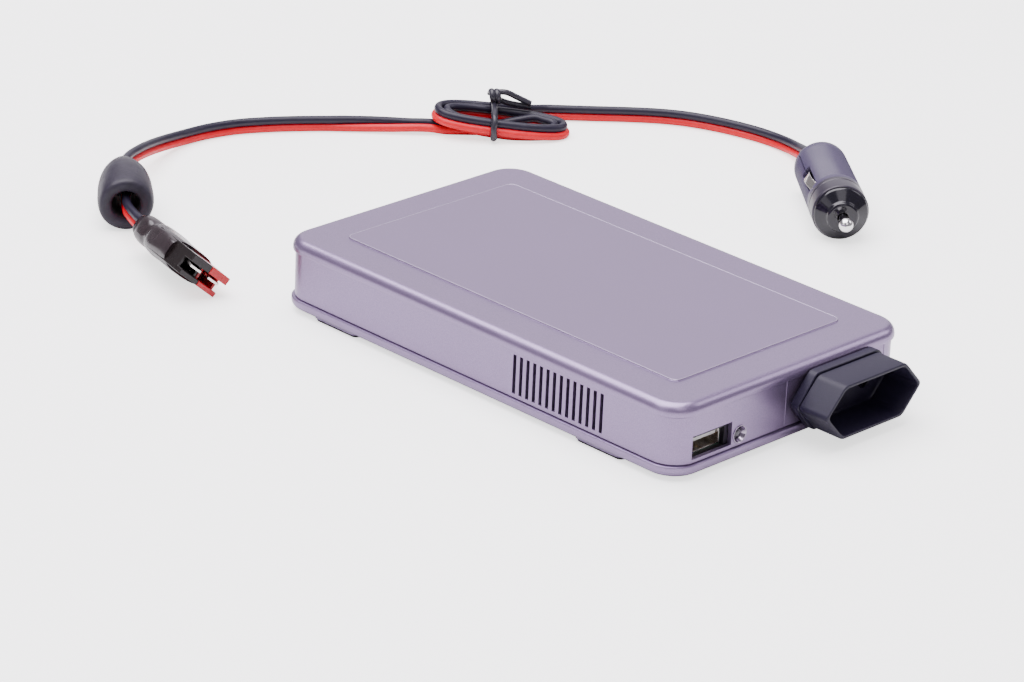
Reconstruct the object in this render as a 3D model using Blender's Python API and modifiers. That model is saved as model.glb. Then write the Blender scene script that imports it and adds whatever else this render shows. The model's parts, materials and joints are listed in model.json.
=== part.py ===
"""Slim power inverter with its unplugged two-core input lead.

The origin is the middle of the case's underside.  +Z is up, +Y runs along the long side to the
rear, and the outlet end faces -Y.  Every size is in metres.
"""

from math import cos, pi, radians, sin

import bmesh
import bpy
import numpy as np
from mathutils import Matrix, Vector

# ---------------------------------------------------------------- driving dimensions
CASE_WIDTH = 0.0972                 # wall band, side to side
CASE_FRONT = -0.07545               # outer face of the outlet end
CASE_REAR = 0.08955                 # outer face of the cable end
CASE_RADIUS = 0.0087                # plan radius of the wall band's corners
WALL = 0.0015                       # sheet thickness of the band

FOOT_TOP = 0.0005                   # rubber pads stand from 0 to here
TRAY_BOTTOM = 0.0012
TRAY_TOP = 0.0047
TRAY_OVERHANG = 0.0009
TRAY_FLOOR = 0.0010                 # thickness of the tray's floor
COVER_BOTTOM = 0.0198
COVER_TOP = 0.0238
COVER_OVERHANG = 0.0008
COVER_PLATE = 0.0012                # thickness of the cover's top plate
PANEL_RISE = 0.0004                 # raised field in the middle of the cover
PANEL_MARGIN = 0.0133               # from the wall band's outer face to the field
SKIRT = 0.0020                      # thickness of both shells' rims
GAP = 0.0003                        # left between pieces that touch
FINE_GAP = 0.00012                  # left between pieces that are pressed together

SOCKET = Vector((0.0191, 0.0, 0.0122))
SOCKET_MOUTH = -0.09045             # front edge of the shroud
SOCKET_FLOOR = -0.0782              # bottom of the recess
SOCKET_PITCH = 0.0190               # distance between the two pin holes
PLATE_EDGES = (-0.0026, 0.0399)     # the two vertical seams of the outlet plate

USB = Vector((-0.0331, -0.0721, 0.0089))
LED = Vector((-0.0217, CASE_FRONT, 0.0085))
VENT_COUNT = 14
VENT_FIRST, VENT_PITCH = -0.0464, 0.00272
VENT_WIDTH, VENT_LOW, VENT_HIGH = 0.0013, 0.0062, 0.0185

INLET = Vector((-0.0180, CASE_REAR + 0.0006, 0.0118))
SWITCH = Vector((0.0200, CASE_REAR, 0.0122))
BOARD_LOW, BOARD_HIGH = 0.0042, 0.0058
BLOWER = Vector((-0.0235, -0.0288, 0.0061))
SCREW_SPOTS = [(sx * 0.0434, y) for y in (-0.0665, 0.0805) for sx in (-1, 1)]
FOOT_SPOTS = [(sx * 0.0428, y) for y in (-0.0450, 0.0665) for sx in (-1, 1)]
FOOT_SIZE = (0.0100, 0.0185)

CORD_TUBE = 0.0054                  # plain tube that stands for the cord
HOUSING = 0.0079                    # square section of one connector housing
HOUSING_LENGTH = 0.0246

CONNECTOR_TIP = Vector((-0.0648, 0.1068, 0.0084))
CONNECTOR_HEADING, CONNECTOR_ROLL = radians(-105.0), radians(-41.1)
FERRITE_MOUTH = Vector((-0.0475, 0.1655, 0.0090))
FERRITE_HEADING = radians(51.7)
FERRITE_LENGTH = 0.0330
HANK = Vector((0.1084, 0.1547, 0.0))
HANK_HEADING = radians(-43.3)
PLUG_BASE = Vector((0.15318, 0.05006, 0.0095))
PLUG_HEADING, PLUG_ROLL = radians(-129.05), radians(-30.0)
PLUG_REAR = -0.0017                 # rear face, along the plug's axis from its base

# The cord's route, as points of its middle line: connector boot to hank, and hank to plug.
ROUTE_TO_HANK = [
    (-0.0530, 0.1508, 0.0084), (-0.0521, 0.1542, 0.0085), (-0.0509, 0.1579, 0.0087),
    (-0.0494, 0.1617, 0.0089), (-0.0471, 0.1658, 0.0090), (-0.0373, 0.1784, 0.0090),
    (-0.0270, 0.1914, 0.0090), (-0.0205, 0.1966, 0.0088), (-0.0122, 0.2010, 0.0079),
    (-0.0038, 0.2052, 0.0064), (0.0060, 0.2094, 0.0045), (0.0160, 0.2120, 0.0031),
    (0.0265, 0.2119, 0.0028), (0.0367, 0.2093, 0.0028), (0.0454, 0.2050, 0.0028),
    (0.0532, 0.2001, 0.0028),
    (0.0626, 0.1932, 0.0028), (0.0728, 0.1847, 0.0028), (0.0828, 0.1757, 0.0028),
    (0.0892, 0.1700, 0.0028),
]
ROUTE_TO_PLUG = [
    (0.1296, 0.1544, 0.0028), (0.1335, 0.1508, 0.0028), (0.1415, 0.1433, 0.0028),
    (0.1499, 0.1356, 0.0028), (0.1578, 0.1274, 0.0028), (0.1636, 0.1190, 0.0028),
    (0.1682, 0.1083, 0.0028), (0.1712, 0.0969, 0.0028), (0.1722, 0.0878, 0.0028),
    (0.1710, 0.0795, 0.0033), (0.1680, 0.0726, 0.0044), (0.1636, 0.0656, 0.0063),
    (0.1590, 0.0583, 0.0084), (0.15447, 0.05165, 0.0095),
]

PARTS = bpy.data.collections.new("power_inverter")
CUTTERS = bpy.data.collections.new("cutters")


# ---------------------------------------------------------------- scene and materials
def clear_scene():
    """Remove every object and hang the two collections in the scene."""
    for item in list(bpy.data.objects):
        bpy.data.objects.remove(item, do_unlink=True)
    for collection in (PARTS, CUTTERS):
        bpy.context.scene.collection.children.link(collection)


def material(name, color, roughness, metallic=0.0):
    """Return a new Principled material."""
    made = bpy.data.materials.new(name)
    made.use_nodes = True
    shader = made.node_tree.nodes["Principled BSDF"]
    shader.inputs["Base Color"].default_value = (*color, 1.0)
    shader.inputs["Roughness"].default_value = roughness
    shader.inputs["Metallic"].default_value = metallic
    return made


# Name: (colour, roughness, metallic).  Every object has its own copy of its finish.
FINISHES = {
    "case": ((0.40, 0.36, 0.44), 0.35, 0.9),
    "nickel": ((0.80, 0.78, 0.74), 0.2, 1.0),
    "black_plastic": ((0.035, 0.035, 0.045), 0.45, 0.0),
    "gloss_black": ((0.012, 0.012, 0.014), 0.1, 0.0),
    "red_plastic": ((0.60, 0.02, 0.03), 0.35, 0.0),
    "rubber": ((0.02, 0.02, 0.02), 0.8, 0.0),
    "lens": ((0.75, 0.80, 0.82), 0.1, 0.0),
    "board": ((0.02, 0.16, 0.07), 0.5, 0.0),
    "copper": ((0.62, 0.27, 0.11), 0.35, 1.0),
    "ferrite": ((0.06, 0.06, 0.07), 0.6, 0.0),
    "aluminium": ((0.62, 0.63, 0.65), 0.35, 1.0),
    "steel": ((0.35, 0.35, 0.36), 0.35, 1.0),
    "sleeve": ((0.07, 0.07, 0.085), 0.5, 0.0),
}


# ---------------------------------------------------------------- making objects
def add_object(name, mesh, finish=None, parent=None):
    """Put a mesh in the scene: a part where it has a finish, or else a hidden cutter."""
    item = bpy.data.objects.new(name, mesh)
    if finish is None:
        CUTTERS.objects.link(item)
        item.hide_render = True
        item.display_type = "WIRE"
    else:
        PARTS.objects.link(item)
        color, roughness, metallic = FINISHES[finish]
        mesh.materials.append(material(name, color, roughness, metallic))
    item.parent = parent
    return item


def empty(name, location=(0, 0, 0), parent=None):
    """Add an empty that other objects hang from."""
    item = bpy.data.objects.new(name, None)
    PARTS.objects.link(item)
    item.location = location
    item.parent = parent
    return item


def axis_frame(name, location, heading, roll=0.0):
    """Add an empty whose local Z points along a level heading, and whose local X is up at no roll."""
    forward = Vector((cos(heading), sin(heading), 0.0))
    up = Vector((0.0, 0.0, 1.0))
    axes = Matrix((up, forward.cross(up), forward)).transposed().to_4x4()
    item = empty(name)
    item.matrix_world = Matrix.Translation(location) @ axes @ Matrix.Rotation(roll, 4, "Z")
    return item


def mesh_from(build):
    """Return a mesh that the function build has made in a bmesh."""
    shape = bmesh.new()
    build(shape)
    mesh = bpy.data.meshes.new("mesh")
    shape.to_mesh(mesh)
    shape.free()
    return mesh


def box(name, low, high, finish=None, parent=None):
    """Add a box between two corners, its middle at the object's origin."""
    low, high = Vector(low), Vector(high)

    def build(shape):
        bmesh.ops.create_cube(shape, size=1.0)
        bmesh.ops.scale(shape, vec=high - low, verts=shape.verts)

    item = add_object(name, mesh_from(build), finish, parent)
    item.location = (low + high) / 2
    return item


def round_edges(item, width):
    """Round the edges that turn by more than 35 degrees."""
    bevel = item.modifiers.new("round", "BEVEL")
    bevel.width = width
    bevel.segments = 2
    bevel.limit_method = "ANGLE"
    bevel.angle_limit = radians(35)


def cylinder(name, radius, low, high, finish=None, parent=None, sides=24, at=(0, 0)):
    """Add an upright cylinder between two heights."""
    def build(shape):
        bmesh.ops.create_cone(shape, cap_ends=True, segments=sides, radius1=radius, radius2=radius,
                              depth=high - low)

    item = add_object(name, mesh_from(build), finish, parent)
    item.location = (at[0], at[1], (low + high) / 2)
    item.data.shade_smooth()
    item.data.set_sharp_from_angle(angle=radians(40))
    return item


def turned(name, profile, finish=None, parent=None, steps=28, closed=False):
    """Turn a profile of (radius, height) points, given from the top down its outer side."""
    def build(shape):
        points = [shape.verts.new((radius, 0.0, height)) for radius, height in profile]
        for first, second in zip(points, points[1:] + points[:1] if closed else points[1:]):
            shape.edges.new((first, second))

    item = add_object(name, mesh_from(build), finish, parent)
    screw = item.modifiers.new("turn", "SCREW")
    screw.steps = screw.render_steps = steps
    screw.use_merge_vertices = True
    screw.merge_threshold = 0.00001
    screw.use_smooth_shade = True
    return item


def prism(name, outlines, thickness, finish=None, parent=None):
    """Add a flat outline, with holes where there is more than one, centred on local Z."""
    curve = bpy.data.curves.new(name, "CURVE")
    curve.dimensions = "2D"
    curve.fill_mode = "BOTH"
    curve.extrude = thickness / 2
    for outline in outlines:
        spline = curve.splines.new("POLY")
        spline.points.add(len(outline) - 1)
        spline.use_cyclic_u = True
        for point, (x, y) in zip(spline.points, outline):
            point.co = (x, y, 0.0, 1.0)
    return add_object(name, mesh_of_curve(curve), finish, parent)


def mesh_of_curve(curve):
    """Return a welded mesh of a curve, and remove the curve."""
    drawn = bpy.data.objects.new("drawn", curve)
    bpy.context.scene.collection.objects.link(drawn)
    evaluated = drawn.evaluated_get(bpy.context.evaluated_depsgraph_get())
    mesh = bpy.data.meshes.new_from_object(evaluated)
    bpy.data.objects.remove(drawn)
    shape = bmesh.new()
    shape.from_mesh(mesh)
    bmesh.ops.remove_doubles(shape, verts=shape.verts, dist=0.000001)
    bmesh.ops.recalc_face_normals(shape, faces=shape.faces)
    shape.to_mesh(mesh)
    shape.free()
    return mesh


def tube(name, points, diameter, finish, parent=None, resolution=3):
    """Add a round bar along a list of points, with filled ends."""
    curve = bpy.data.curves.new(name, "CURVE")
    curve.dimensions = "3D"
    curve.bevel_depth = diameter / 2
    curve.bevel_resolution = resolution
    curve.use_fill_caps = True
    spline = curve.splines.new("POLY")
    spline.points.add(len(points) - 1)
    for place, point in zip(spline.points, points):
        place.co = (*point, 1.0)
    item = add_object(name, mesh_of_curve(curve), finish, parent)
    item.data.shade_smooth()
    return item


def cut(item, cutter, operation="DIFFERENCE"):
    """Cut a part with a cutter, or join the cutter's shape to it."""
    boolean = item.modifiers.new(cutter.name, "BOOLEAN")
    boolean.operation = operation
    boolean.object = cutter
    boolean.solver = "EXACT"


def facing_front(item, y):
    """Stand a flat piece up so that its local Z points to -Y, with its middle at y."""
    item.rotation_euler = (pi / 2, 0, 0)
    item.location.y = y
    return item


# ---------------------------------------------------------------- outlines
def rounded_rectangle(low, high, radius, steps=6):
    """Return an outline with round corners, anticlockwise."""
    centres = [(high[0] - radius, high[1] - radius, 0), (low[0] + radius, high[1] - radius, 1),
               (low[0] + radius, low[1] + radius, 2), (high[0] - radius, low[1] + radius, 3)]
    outline = []
    for x, y, quarter in centres:
        for step in range(steps + 1):
            angle = (quarter + step / steps) * pi / 2
            outline.append((x + radius * cos(angle), y + radius * sin(angle)))
    return outline


def case_outline(offset, steps=7):
    """Return the case's plan, moved out by an offset from the wall band's outer face."""
    half = CASE_WIDTH / 2 + offset
    return rounded_rectangle((-half, CASE_FRONT - offset), (half, CASE_REAR + offset),
                             max(CASE_RADIUS + offset, 0.0005), steps)


def hexagon(half_height, top_half, side_half):
    """Return the socket's long hexagon: flat above and below, pointed at both sides."""
    return [(side_half, 0.0), (top_half, half_height), (-top_half, half_height),
            (-side_half, 0.0), (-top_half, -half_height), (top_half, -half_height)]


def slab(name, outline, low, high, finish=None, parent=None):
    """Add an upright slab of a plan outline between two heights."""
    item = prism(name, [outline], high - low, finish, parent)
    item.location.z = (low + high) / 2
    return item


def round_rim(item, width, at_top, segments=4):
    """Round only the upper or only the lower rim of a slab."""
    shape = bmesh.new()
    shape.from_mesh(item.data)
    level = max(vert.co.z for vert in shape.verts) * (1 if at_top else -1)
    rim = [edge for edge in shape.edges
           if all(abs(vert.co.z - level) < 1e-6 for vert in edge.verts)
           and len({round(face.normal.z) for face in edge.link_faces}) == 2]
    bmesh.ops.bevel(shape, geom=rim, offset=width, segments=segments, profile=0.5,
                    affect="EDGES", clamp_overlap=True)
    shape.to_mesh(item.data)
    shape.free()


# ---------------------------------------------------------------- case
def top_cover():
    """Pressed cover: rounded rim, raised field, and a post above each screw."""
    cover = slab("top_cover", case_outline(COVER_OVERHANG), COVER_BOTTOM, COVER_TOP, "case")
    round_rim(cover, 0.0030, at_top=True)

    half = CASE_WIDTH / 2 - PANEL_MARGIN
    low, high = (-half, CASE_FRONT + PANEL_MARGIN), (half, CASE_REAR - PANEL_MARGIN)
    field = slab("cover_field", rounded_rectangle(low, high, 0.0025, 4),
                 COVER_TOP - 0.0006, COVER_TOP + PANEL_RISE)
    round_rim(field, PANEL_RISE * 0.9, at_top=True, segments=1)
    cut(cover, field, "UNION")

    hollow = slab("cover_hollow", case_outline(COVER_OVERHANG - SKIRT),
                  COVER_BOTTOM - 0.0020, COVER_TOP - COVER_PLATE)
    cut(cover, hollow)
    for number, spot in enumerate(SCREW_SPOTS):
        post = cylinder(f"cover_post_{number}", 0.0031, 0.0037, COVER_TOP - COVER_PLATE + 0.0003,
                        sides=16, at=spot)
        cut(cover, post, "UNION")
        hole = cylinder(f"cover_post_hole_{number}", 0.00137, 0.0030, 0.0120, sides=12, at=spot)
        cut(cover, hole)


def bottom_tray():
    """Pressed tray: a low pad over each foot, and bosses for the screws and the board."""
    tray = slab("bottom_tray", case_outline(TRAY_OVERHANG), TRAY_BOTTOM, TRAY_TOP, "case")
    round_rim(tray, 0.0022, at_top=False)
    hollow = slab("tray_hollow", case_outline(TRAY_OVERHANG - SKIRT),
                  TRAY_BOTTOM + TRAY_FLOOR, TRAY_TOP + 0.0010)
    cut(tray, hollow)

    for number, (x, y) in enumerate(FOOT_SPOTS):
        reach = (FOOT_SIZE[0] / 2 + 0.0002, FOOT_SIZE[1] / 2 + 0.0002)
        outline = rounded_rectangle((x - reach[0], y - reach[1]), (x + reach[0], y + reach[1]),
                                    0.0020, 3)
        pad = slab(f"tray_pad_{number}", outline, FOOT_TOP + 0.00006, TRAY_BOTTOM + 0.0004)
        cut(tray, pad, "UNION")
    for number, spot in enumerate(SCREW_SPOTS):
        boss = cylinder(f"tray_boss_{number}", 0.0038, TRAY_BOTTOM + 0.0003, 0.0034, sides=16, at=spot)
        cut(tray, boss, "UNION")
        hole = cylinder(f"tray_hole_{number}", 0.0015, 0.0, 0.0050, sides=12, at=spot)
        cut(tray, hole)
        sink = cylinder(f"tray_sink_{number}", 0.0028, 0.0, TRAY_BOTTOM + 0.0012, sides=16, at=spot)
        cut(tray, sink)
    for number, (sx, y) in enumerate([(-1, -0.0500), (1, -0.0500), (-1, 0.0620), (1, 0.0620)]):
        support = cylinder(f"tray_support_{number}", 0.0025, TRAY_BOTTOM + 0.0003, BOARD_LOW - GAP,
                           sides=12, at=(sx * 0.0400, y))
        cut(tray, support, "UNION")


def wall_band():
    """Band of sheet between tray and cover, open for the outlet plate, ports and vents."""
    low, high = TRAY_TOP + GAP, COVER_BOTTOM - GAP
    band = prism("wall_band", [case_outline(0.0), case_outline(-WALL)], high - low, "case")
    band.location.z = (low + high) / 2

    def opening(name, x_range, y_range, z_range):
        corners = list(zip(x_range, y_range, z_range))
        cut(band, box(name, corners[0], corners[1]))

    front = (CASE_FRONT - 0.0010, CASE_FRONT + 0.0022)
    rear = (CASE_REAR - 0.0022, CASE_REAR + 0.0010)
    opening("plate_gap", PLATE_EDGES, front, (0.0, 0.0300))
    opening("usb_window", (-0.0412, -0.0250), front, (0.00605, 0.0133))
    led_hole = facing_front(cylinder("led_hole", 0.0028, -0.0030, 0.0030, sides=20), CASE_FRONT)
    led_hole.location = LED
    cut(band, led_hole)
    opening("inlet_window", (INLET.x - HOUSING - GAP, INLET.x + HOUSING + GAP), rear,
            (INLET.z - HOUSING / 2 - GAP, INLET.z + HOUSING / 2 + GAP))
    opening("switch_window", (SWITCH.x - 0.0064, SWITCH.x + 0.0064), rear,
            (SWITCH.z - 0.0046, SWITCH.z + 0.0046))
    side = (-CASE_WIDTH / 2 - 0.0010, -CASE_WIDTH / 2 + 0.0022)
    for number in range(VENT_COUNT):
        middle = VENT_FIRST + number * VENT_PITCH
        opening(f"vent_{number}", side, (middle - VENT_WIDTH / 2, middle + VENT_WIDTH / 2),
                (VENT_LOW, VENT_HIGH))


def feet_and_screws():
    """Four rubber pads and four screws that draw the cover's posts to the tray."""
    for number, (x, y) in enumerate(FOOT_SPOTS, start=1):
        low = (x - FOOT_SIZE[0] / 2, y - FOOT_SIZE[1] / 2)
        high = (x + FOOT_SIZE[0] / 2, y + FOOT_SIZE[1] / 2)
        slab(f"foot_{number}", rounded_rectangle(low, high, 0.0020, 3), 0.0, FOOT_TOP, "rubber")
    profile = [(0.0, 0.0110), (0.00125, 0.0107), (0.00125, 0.0023), (0.0025, 0.0023),
               (0.0025, 0.0016), (0.0022, 0.0013), (0.0, 0.0013)]
    for number, (x, y) in enumerate(SCREW_SPOTS, start=1):
        screw = turned(f"case_screw_{number}", profile, "steel", steps=16)
        screw.location = (x, y, 0.0)
        for turn, (wide, deep) in enumerate([(0.0016, 0.0003), (0.0003, 0.0016)]):
            slot = box(f"screw_slot_{number}_{turn}", (x - wide, y - deep, 0.0008),
                       (x + wide, y + deep, 0.0018))
            cut(screw, slot)


# ---------------------------------------------------------------- outlet end
def socket_prism(name, size, front, back, finish=None):
    """Add a hexagonal length of the socket between two planes."""
    item = prism(name, [hexagon(*size)], back - front, finish)
    facing_front(item, (front + back) / 2)
    item.location.x, item.location.z = SOCKET.x, SOCKET.z
    return item


def outlet():
    """Outlet plate, collar, recessed two-pin socket and its two sleeve contacts."""
    plate = box("outlet_plate", (PLATE_EDGES[0] + FINE_GAP, CASE_FRONT, TRAY_TOP + GAP),
                (PLATE_EDGES[1] - FINE_GAP, CASE_FRONT + WALL, COVER_BOTTOM - GAP), "case")
    cut(plate, socket_prism("plate_opening", (0.0063, 0.0106, 0.0160), -0.0800, -0.0700))

    flange = socket_prism("socket_flange", (0.0093, 0.0136, 0.0216), -0.07975, -0.0767,
                          "black_plastic")
    round_edges(flange, 0.0005)
    spigot = socket_prism("flange_spigot", (0.0070, 0.0120, 0.0190), -0.0770, CASE_FRONT - FINE_GAP)
    cut(flange, spigot, "UNION")
    cut(flange, socket_prism("flange_bore", (0.0063, 0.0106, 0.0160), -0.0850, -0.0700))
    cut(flange, socket_prism("flange_seat", (0.0082, 0.0130, 0.0200), -0.0850, -0.07688))

    shroud = socket_prism("socket_shroud", (0.00845, 0.0132, 0.0207), SOCKET_MOUTH, -0.0799,
                          "black_plastic")
    round_edges(shroud, 0.0006)
    cut(shroud, socket_prism("shroud_seat", (0.0080, 0.0128, 0.0198), -0.0802, -0.0770), "UNION")
    cut(shroud, socket_prism("shroud_neck", (0.0061, 0.0104, 0.0158), -0.0775, -0.0660), "UNION")
    cut(shroud, socket_prism("shroud_recess", (0.0069, 0.0117, 0.01825), -0.0950, SOCKET_FLOOR))
    for side, name in ((-1, "left"), (1, "right")):
        x = SOCKET.x + side * SOCKET_PITCH / 2
        hole = facing_front(cylinder(f"pin_hole_{name}", 0.0025, -0.0120, 0.0120, sides=20), -0.0720)
        hole.location = (x, -0.0720, SOCKET.z)
        cut(shroud, hole)
        sleeve = [(0.0, -0.0060), (0.0023, -0.0060), (0.0023, 0.0050), (0.0020, 0.0050),
                  (0.0020, -0.0056), (0.0, -0.0056)]
        contact = turned(f"socket_contact_{name}", sleeve[::-1], "nickel", steps=20)
        facing_front(contact, 0.0).location = (x, -0.0710, SOCKET.z)


def small_ports():
    """USB shell with its tongue, and the indicator lamp in its countersunk ring."""
    low = (USB.x - 0.00655, USB.y, USB.z - 0.00285)
    high = (USB.x + 0.00655, USB.y + 0.0140, USB.z + 0.00285)
    shell = box("usb_shell", low, high, "nickel")
    cut(shell, box("usb_mouth", (low[0] + 0.0003, USB.y - 0.0010, low[2] + 0.0003),
                   (high[0] - 0.0003, high[1] - 0.0004, high[2] - 0.0003)))
    outline = [(0.0010, -0.0005), (0.0010, -0.0024), (0.0098, -0.0024), (0.0098, -0.0046),
               (0.0130, -0.0046), (0.0130, 0.0001), (0.0098, 0.0001), (0.0098, -0.0005)]
    tongue = prism("usb_tongue", [outline], 0.0118, "black_plastic")
    tongue.rotation_euler = (pi / 2, 0, pi / 2)
    tongue.location = (USB.x, USB.y, USB.z + 0.00245)

    cup = [(0.00275, 0.0003), (0.00275, -0.0012), (0.0021, -0.0016), (0.0017, -0.0016),
           (0.0017, -0.0012), (0.0025, 0.0003)]
    bezel = turned("led_bezel", cup, "nickel", steps=24, closed=True)
    facing_front(bezel, 0.0).location = LED
    dome = [(0.0, 0.0002), (0.0006, 0.0001), (0.0011, -0.0002), (0.00145, -0.0008),
            (0.00145, -0.0060), (0.0, -0.0060)]
    lens = turned("led_lens", dome, "lens", steps=20)
    facing_front(lens, 0.0).location = LED


# ---------------------------------------------------------------- two-pole power connectors
def housing(name, frame, side, finish):
    """Add one genderless housing: square body, tongue above, lip below, its mouth at local Z = 0."""
    middle = side * HOUSING / 2
    half = HOUSING / 2 - 0.00006
    body = box(name, (-half, middle - half, -HOUSING_LENGTH), (half, middle + half, 0.0), finish, frame)
    cuts = {
        "channel": ((-0.0022, middle - 0.0029, -HOUSING_LENGTH - 0.001), (0.0014, middle + 0.0029, 0.001)),
        "notch": ((-0.0022, middle - 0.0050, -0.0046), (0.0014, middle + 0.0050, 0.001)),
        "lip": ((-0.0050, middle - 0.0050, -0.0016), (0.0010, middle + 0.0050, 0.001)),
    }
    for label, (low, high) in cuts.items():
        cut(body, box(f"{name}_{label}", low, high, parent=frame))


def blade(name, frame, side):
    """Add a contact: a sprung blade in the mouth, on a bar that runs back to the wire."""
    outline = [(0.0006, -0.0012), (0.0011, -0.0030), (0.0011, -0.0170), (-0.0014, -0.0170),
               (-0.0014, -0.0110), (0.0002, -0.0105), (0.0002, -0.0030), (-0.0002, -0.0012)]
    item = prism(name, [outline], 0.0046, "nickel", frame)
    item.rotation_euler = (pi / 2, 0, 0)
    item.location.y = side * HOUSING / 2
    return item


def rear_end():
    """Power inlet of two housings side by side, and the rocker switch."""
    inlet = empty("inlet_frame")
    axes = Matrix(((0, 0, 1), (-1, 0, 0), (0, 1, 0))).transposed().to_4x4()
    inlet.matrix_world = Matrix.Translation(INLET) @ axes
    for side, color in ((1, "black"), (-1, "red")):
        housing(f"inlet_housing_{color}", inlet, side, f"{color}_plastic")
        blade(f"inlet_contact_{color}", inlet, side)

    rim = box("power_switch_frame", (SWITCH.x - 0.0075, CASE_REAR + FINE_GAP, SWITCH.z - 0.0055),
              (SWITCH.x + 0.0075, CASE_REAR + 0.0009, SWITCH.z + 0.0055), "black_plastic")
    well = box("switch_well", (SWITCH.x - 0.0062, CASE_REAR - 0.0110, SWITCH.z - 0.0044),
               (SWITCH.x + 0.0062, CASE_REAR + 0.0005, SWITCH.z + 0.0044))
    cut(rim, well, "UNION")
    cut(rim, box("switch_mouth", (SWITCH.x - 0.0052, CASE_REAR - 0.0070, SWITCH.z - 0.0036),
                 (SWITCH.x + 0.0052, CASE_REAR + 0.0030, SWITCH.z + 0.0036)))

    reach, thick = 0.0049, 0.0021
    tilt = radians(7.0)
    outline = [(-reach, 0.0), (-reach, -0.0010), (-0.0012, -thick), (0.0012, -thick),
               (reach, -0.0010), (reach, 0.0), (0.0, -0.0006)]
    rocker = prism("power_switch_rocker", [outline], 0.0066, "black_plastic")
    rocker.rotation_euler = (0.0, 0.0, tilt)
    rocker.location = (SWITCH.x, CASE_REAR + 0.00028, SWITCH.z)


# ---------------------------------------------------------------- inside the case
def inside():
    """Board and the larger components that make the mains voltage."""
    half, front, rear, notch = 0.0452, -0.0722, 0.0862, 0.0110
    board = [(half - notch, rear), (-half + notch, rear), (-half + notch, rear - notch),
             (-half, rear - notch), (-half, front + notch), (-half + notch, front + notch),
             (-half + notch, front), (half - notch, front), (half - notch, front + notch),
             (half, front + notch), (half, rear - notch), (half - notch, rear - notch)]
    slab("main_board", board, BOARD_LOW, BOARD_HIGH, "board")
    base = BOARD_HIGH + GAP

    core = [rounded_rectangle((-0.0160, -0.0130), (0.0160, 0.0130), 0.0004, 1),
            rounded_rectangle((-0.0125, -0.0090), (-0.0045, 0.0090), 0.0002, 1),
            rounded_rectangle((0.0045, -0.0090), (0.0125, 0.0090), 0.0002, 1)]
    prism("transformer_core", core, 0.0100, "ferrite").location = (0.0, 0.0280, base + 0.0072)
    coil = [rounded_rectangle((-0.0118, -0.0070), (0.0118, 0.0070), 0.0020, 3),
            rounded_rectangle((-0.0050, -0.0055), (0.0050, 0.0055), 0.0006, 2)]
    winding = prism("transformer_winding", coil, 0.0172, "copper")
    winding.rotation_euler = (pi / 2, 0, 0)
    winding.location = (0.0, 0.0280, base + 0.0072)

    can = [(0.0, 0.0130), (0.0058, 0.0130), (0.0065, 0.0122), (0.0065, -0.0122), (0.0058, -0.0130),
           (0.0, -0.0130)]
    bulk = turned("bulk_capacitor", can, "black_plastic", steps=24)
    facing_front(bulk, 0.0).location = (0.0275, -0.0070, base + 0.0068)
    cylinder("input_capacitor", 0.0050, base, base + 0.0130, "black_plastic", at=(0.0040, 0.0600))

    for name, x, y, length in (("heatsink_input", -0.0400, 0.0280, 0.044),
                               ("heatsink_output", 0.0400, -0.0150, 0.054)):
        side = 1 if x > 0 else -1
        fins = [(0.0, 0.0), (0.0, 0.0130)]
        for fin in range(4):
            top = 0.0130 - fin * 0.0036
            fins += [(0.0050, top), (0.0050, top - 0.0012), (0.0015, top - 0.0012),
                     (0.0015, top - 0.0036 if fin < 3 else 0.0)]
        outline = [(side * u, v) for u, v in fins]
        sink = prism(name, [outline[::side]], length, "aluminium")
        facing_front(sink, 0.0).location = (x, y, base)
        inner = x - side * 0.0024
        box(name.replace("heatsink", "transistor"), (inner - 0.0021, y - 0.0050, base + 0.0005),
            (inner + 0.0021, y + 0.0050, base + 0.0120), "black_plastic")

    ring = [(0.0085 + 0.0035 * cos(step * pi / 5), 0.0035 * sin(step * pi / 5)) for step in range(10)]
    turned("output_choke", ring[::-1], "copper", steps=20, closed=True).location = (
        0.0190, -0.0460, base + 0.0038)


def blower():
    """Radial blower behind the vents: a housing with a top inlet and side outlet, and its wheel."""
    low, high = BLOWER.z, BLOWER.z + 0.0125
    body = box("blower_housing", (BLOWER.x - 0.0210, BLOWER.y - 0.0205, low),
               (BLOWER.x + 0.0200, BLOWER.y + 0.0205, high), "black_plastic")
    spot = (BLOWER.x, BLOWER.y)
    cut(body, cylinder("blower_chamber", 0.0178, low + 0.0012, high - 0.0012, sides=32, at=spot))
    cut(body, cylinder("blower_inlet", 0.0125, high - 0.0030, high + 0.0010, sides=28, at=spot))
    cut(body, box("blower_outlet", (BLOWER.x - 0.0230, BLOWER.y - 0.0175, low + 0.0012),
                  (BLOWER.x, BLOWER.y, high - 0.0012)))

    blades = 15
    outline = []
    for number in range(blades):
        for radius, lead in ((0.0075, 0.00), (0.0158, 0.10), (0.0158, 0.13), (0.0075, 0.06)):
            angle = 2 * pi * number / blades + lead * 2.2
            outline.append((radius * cos(angle), radius * sin(angle)))
    wheel = prism("blower_impeller", [outline], 0.0080, "black_plastic")
    wheel.location = (*spot, low + 0.0059)


# ---------------------------------------------------------------- lead
def smooth_route(points, spacing):
    """Return points about one spacing apart on a smooth curve through the given points."""
    given = np.array(points)
    padded = np.vstack([2 * given[0] - given[1], given, 2 * given[-1] - given[-2]])
    dense = [given[0]]
    for before, start, end, after in zip(padded, padded[1:], padded[2:], padded[3:]):
        for t in np.linspace(0, 1, 17)[1:]:
            dense.append(0.5 * (2 * start + (end - before) * t
                                + (2 * before - 5 * start + 4 * end - after) * t ** 2
                                + (3 * start - before - 3 * end + after) * t ** 3))
    dense = np.array(dense)
    reach = np.concatenate([[0], np.cumsum(np.linalg.norm(np.diff(dense, axis=0), axis=1))])
    places = np.linspace(0, reach[-1], max(2, round(reach[-1] / spacing)) + 1)
    return [tuple(float(np.interp(place, reach, dense[:, axis])) for axis in range(3))
            for place in places]


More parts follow.
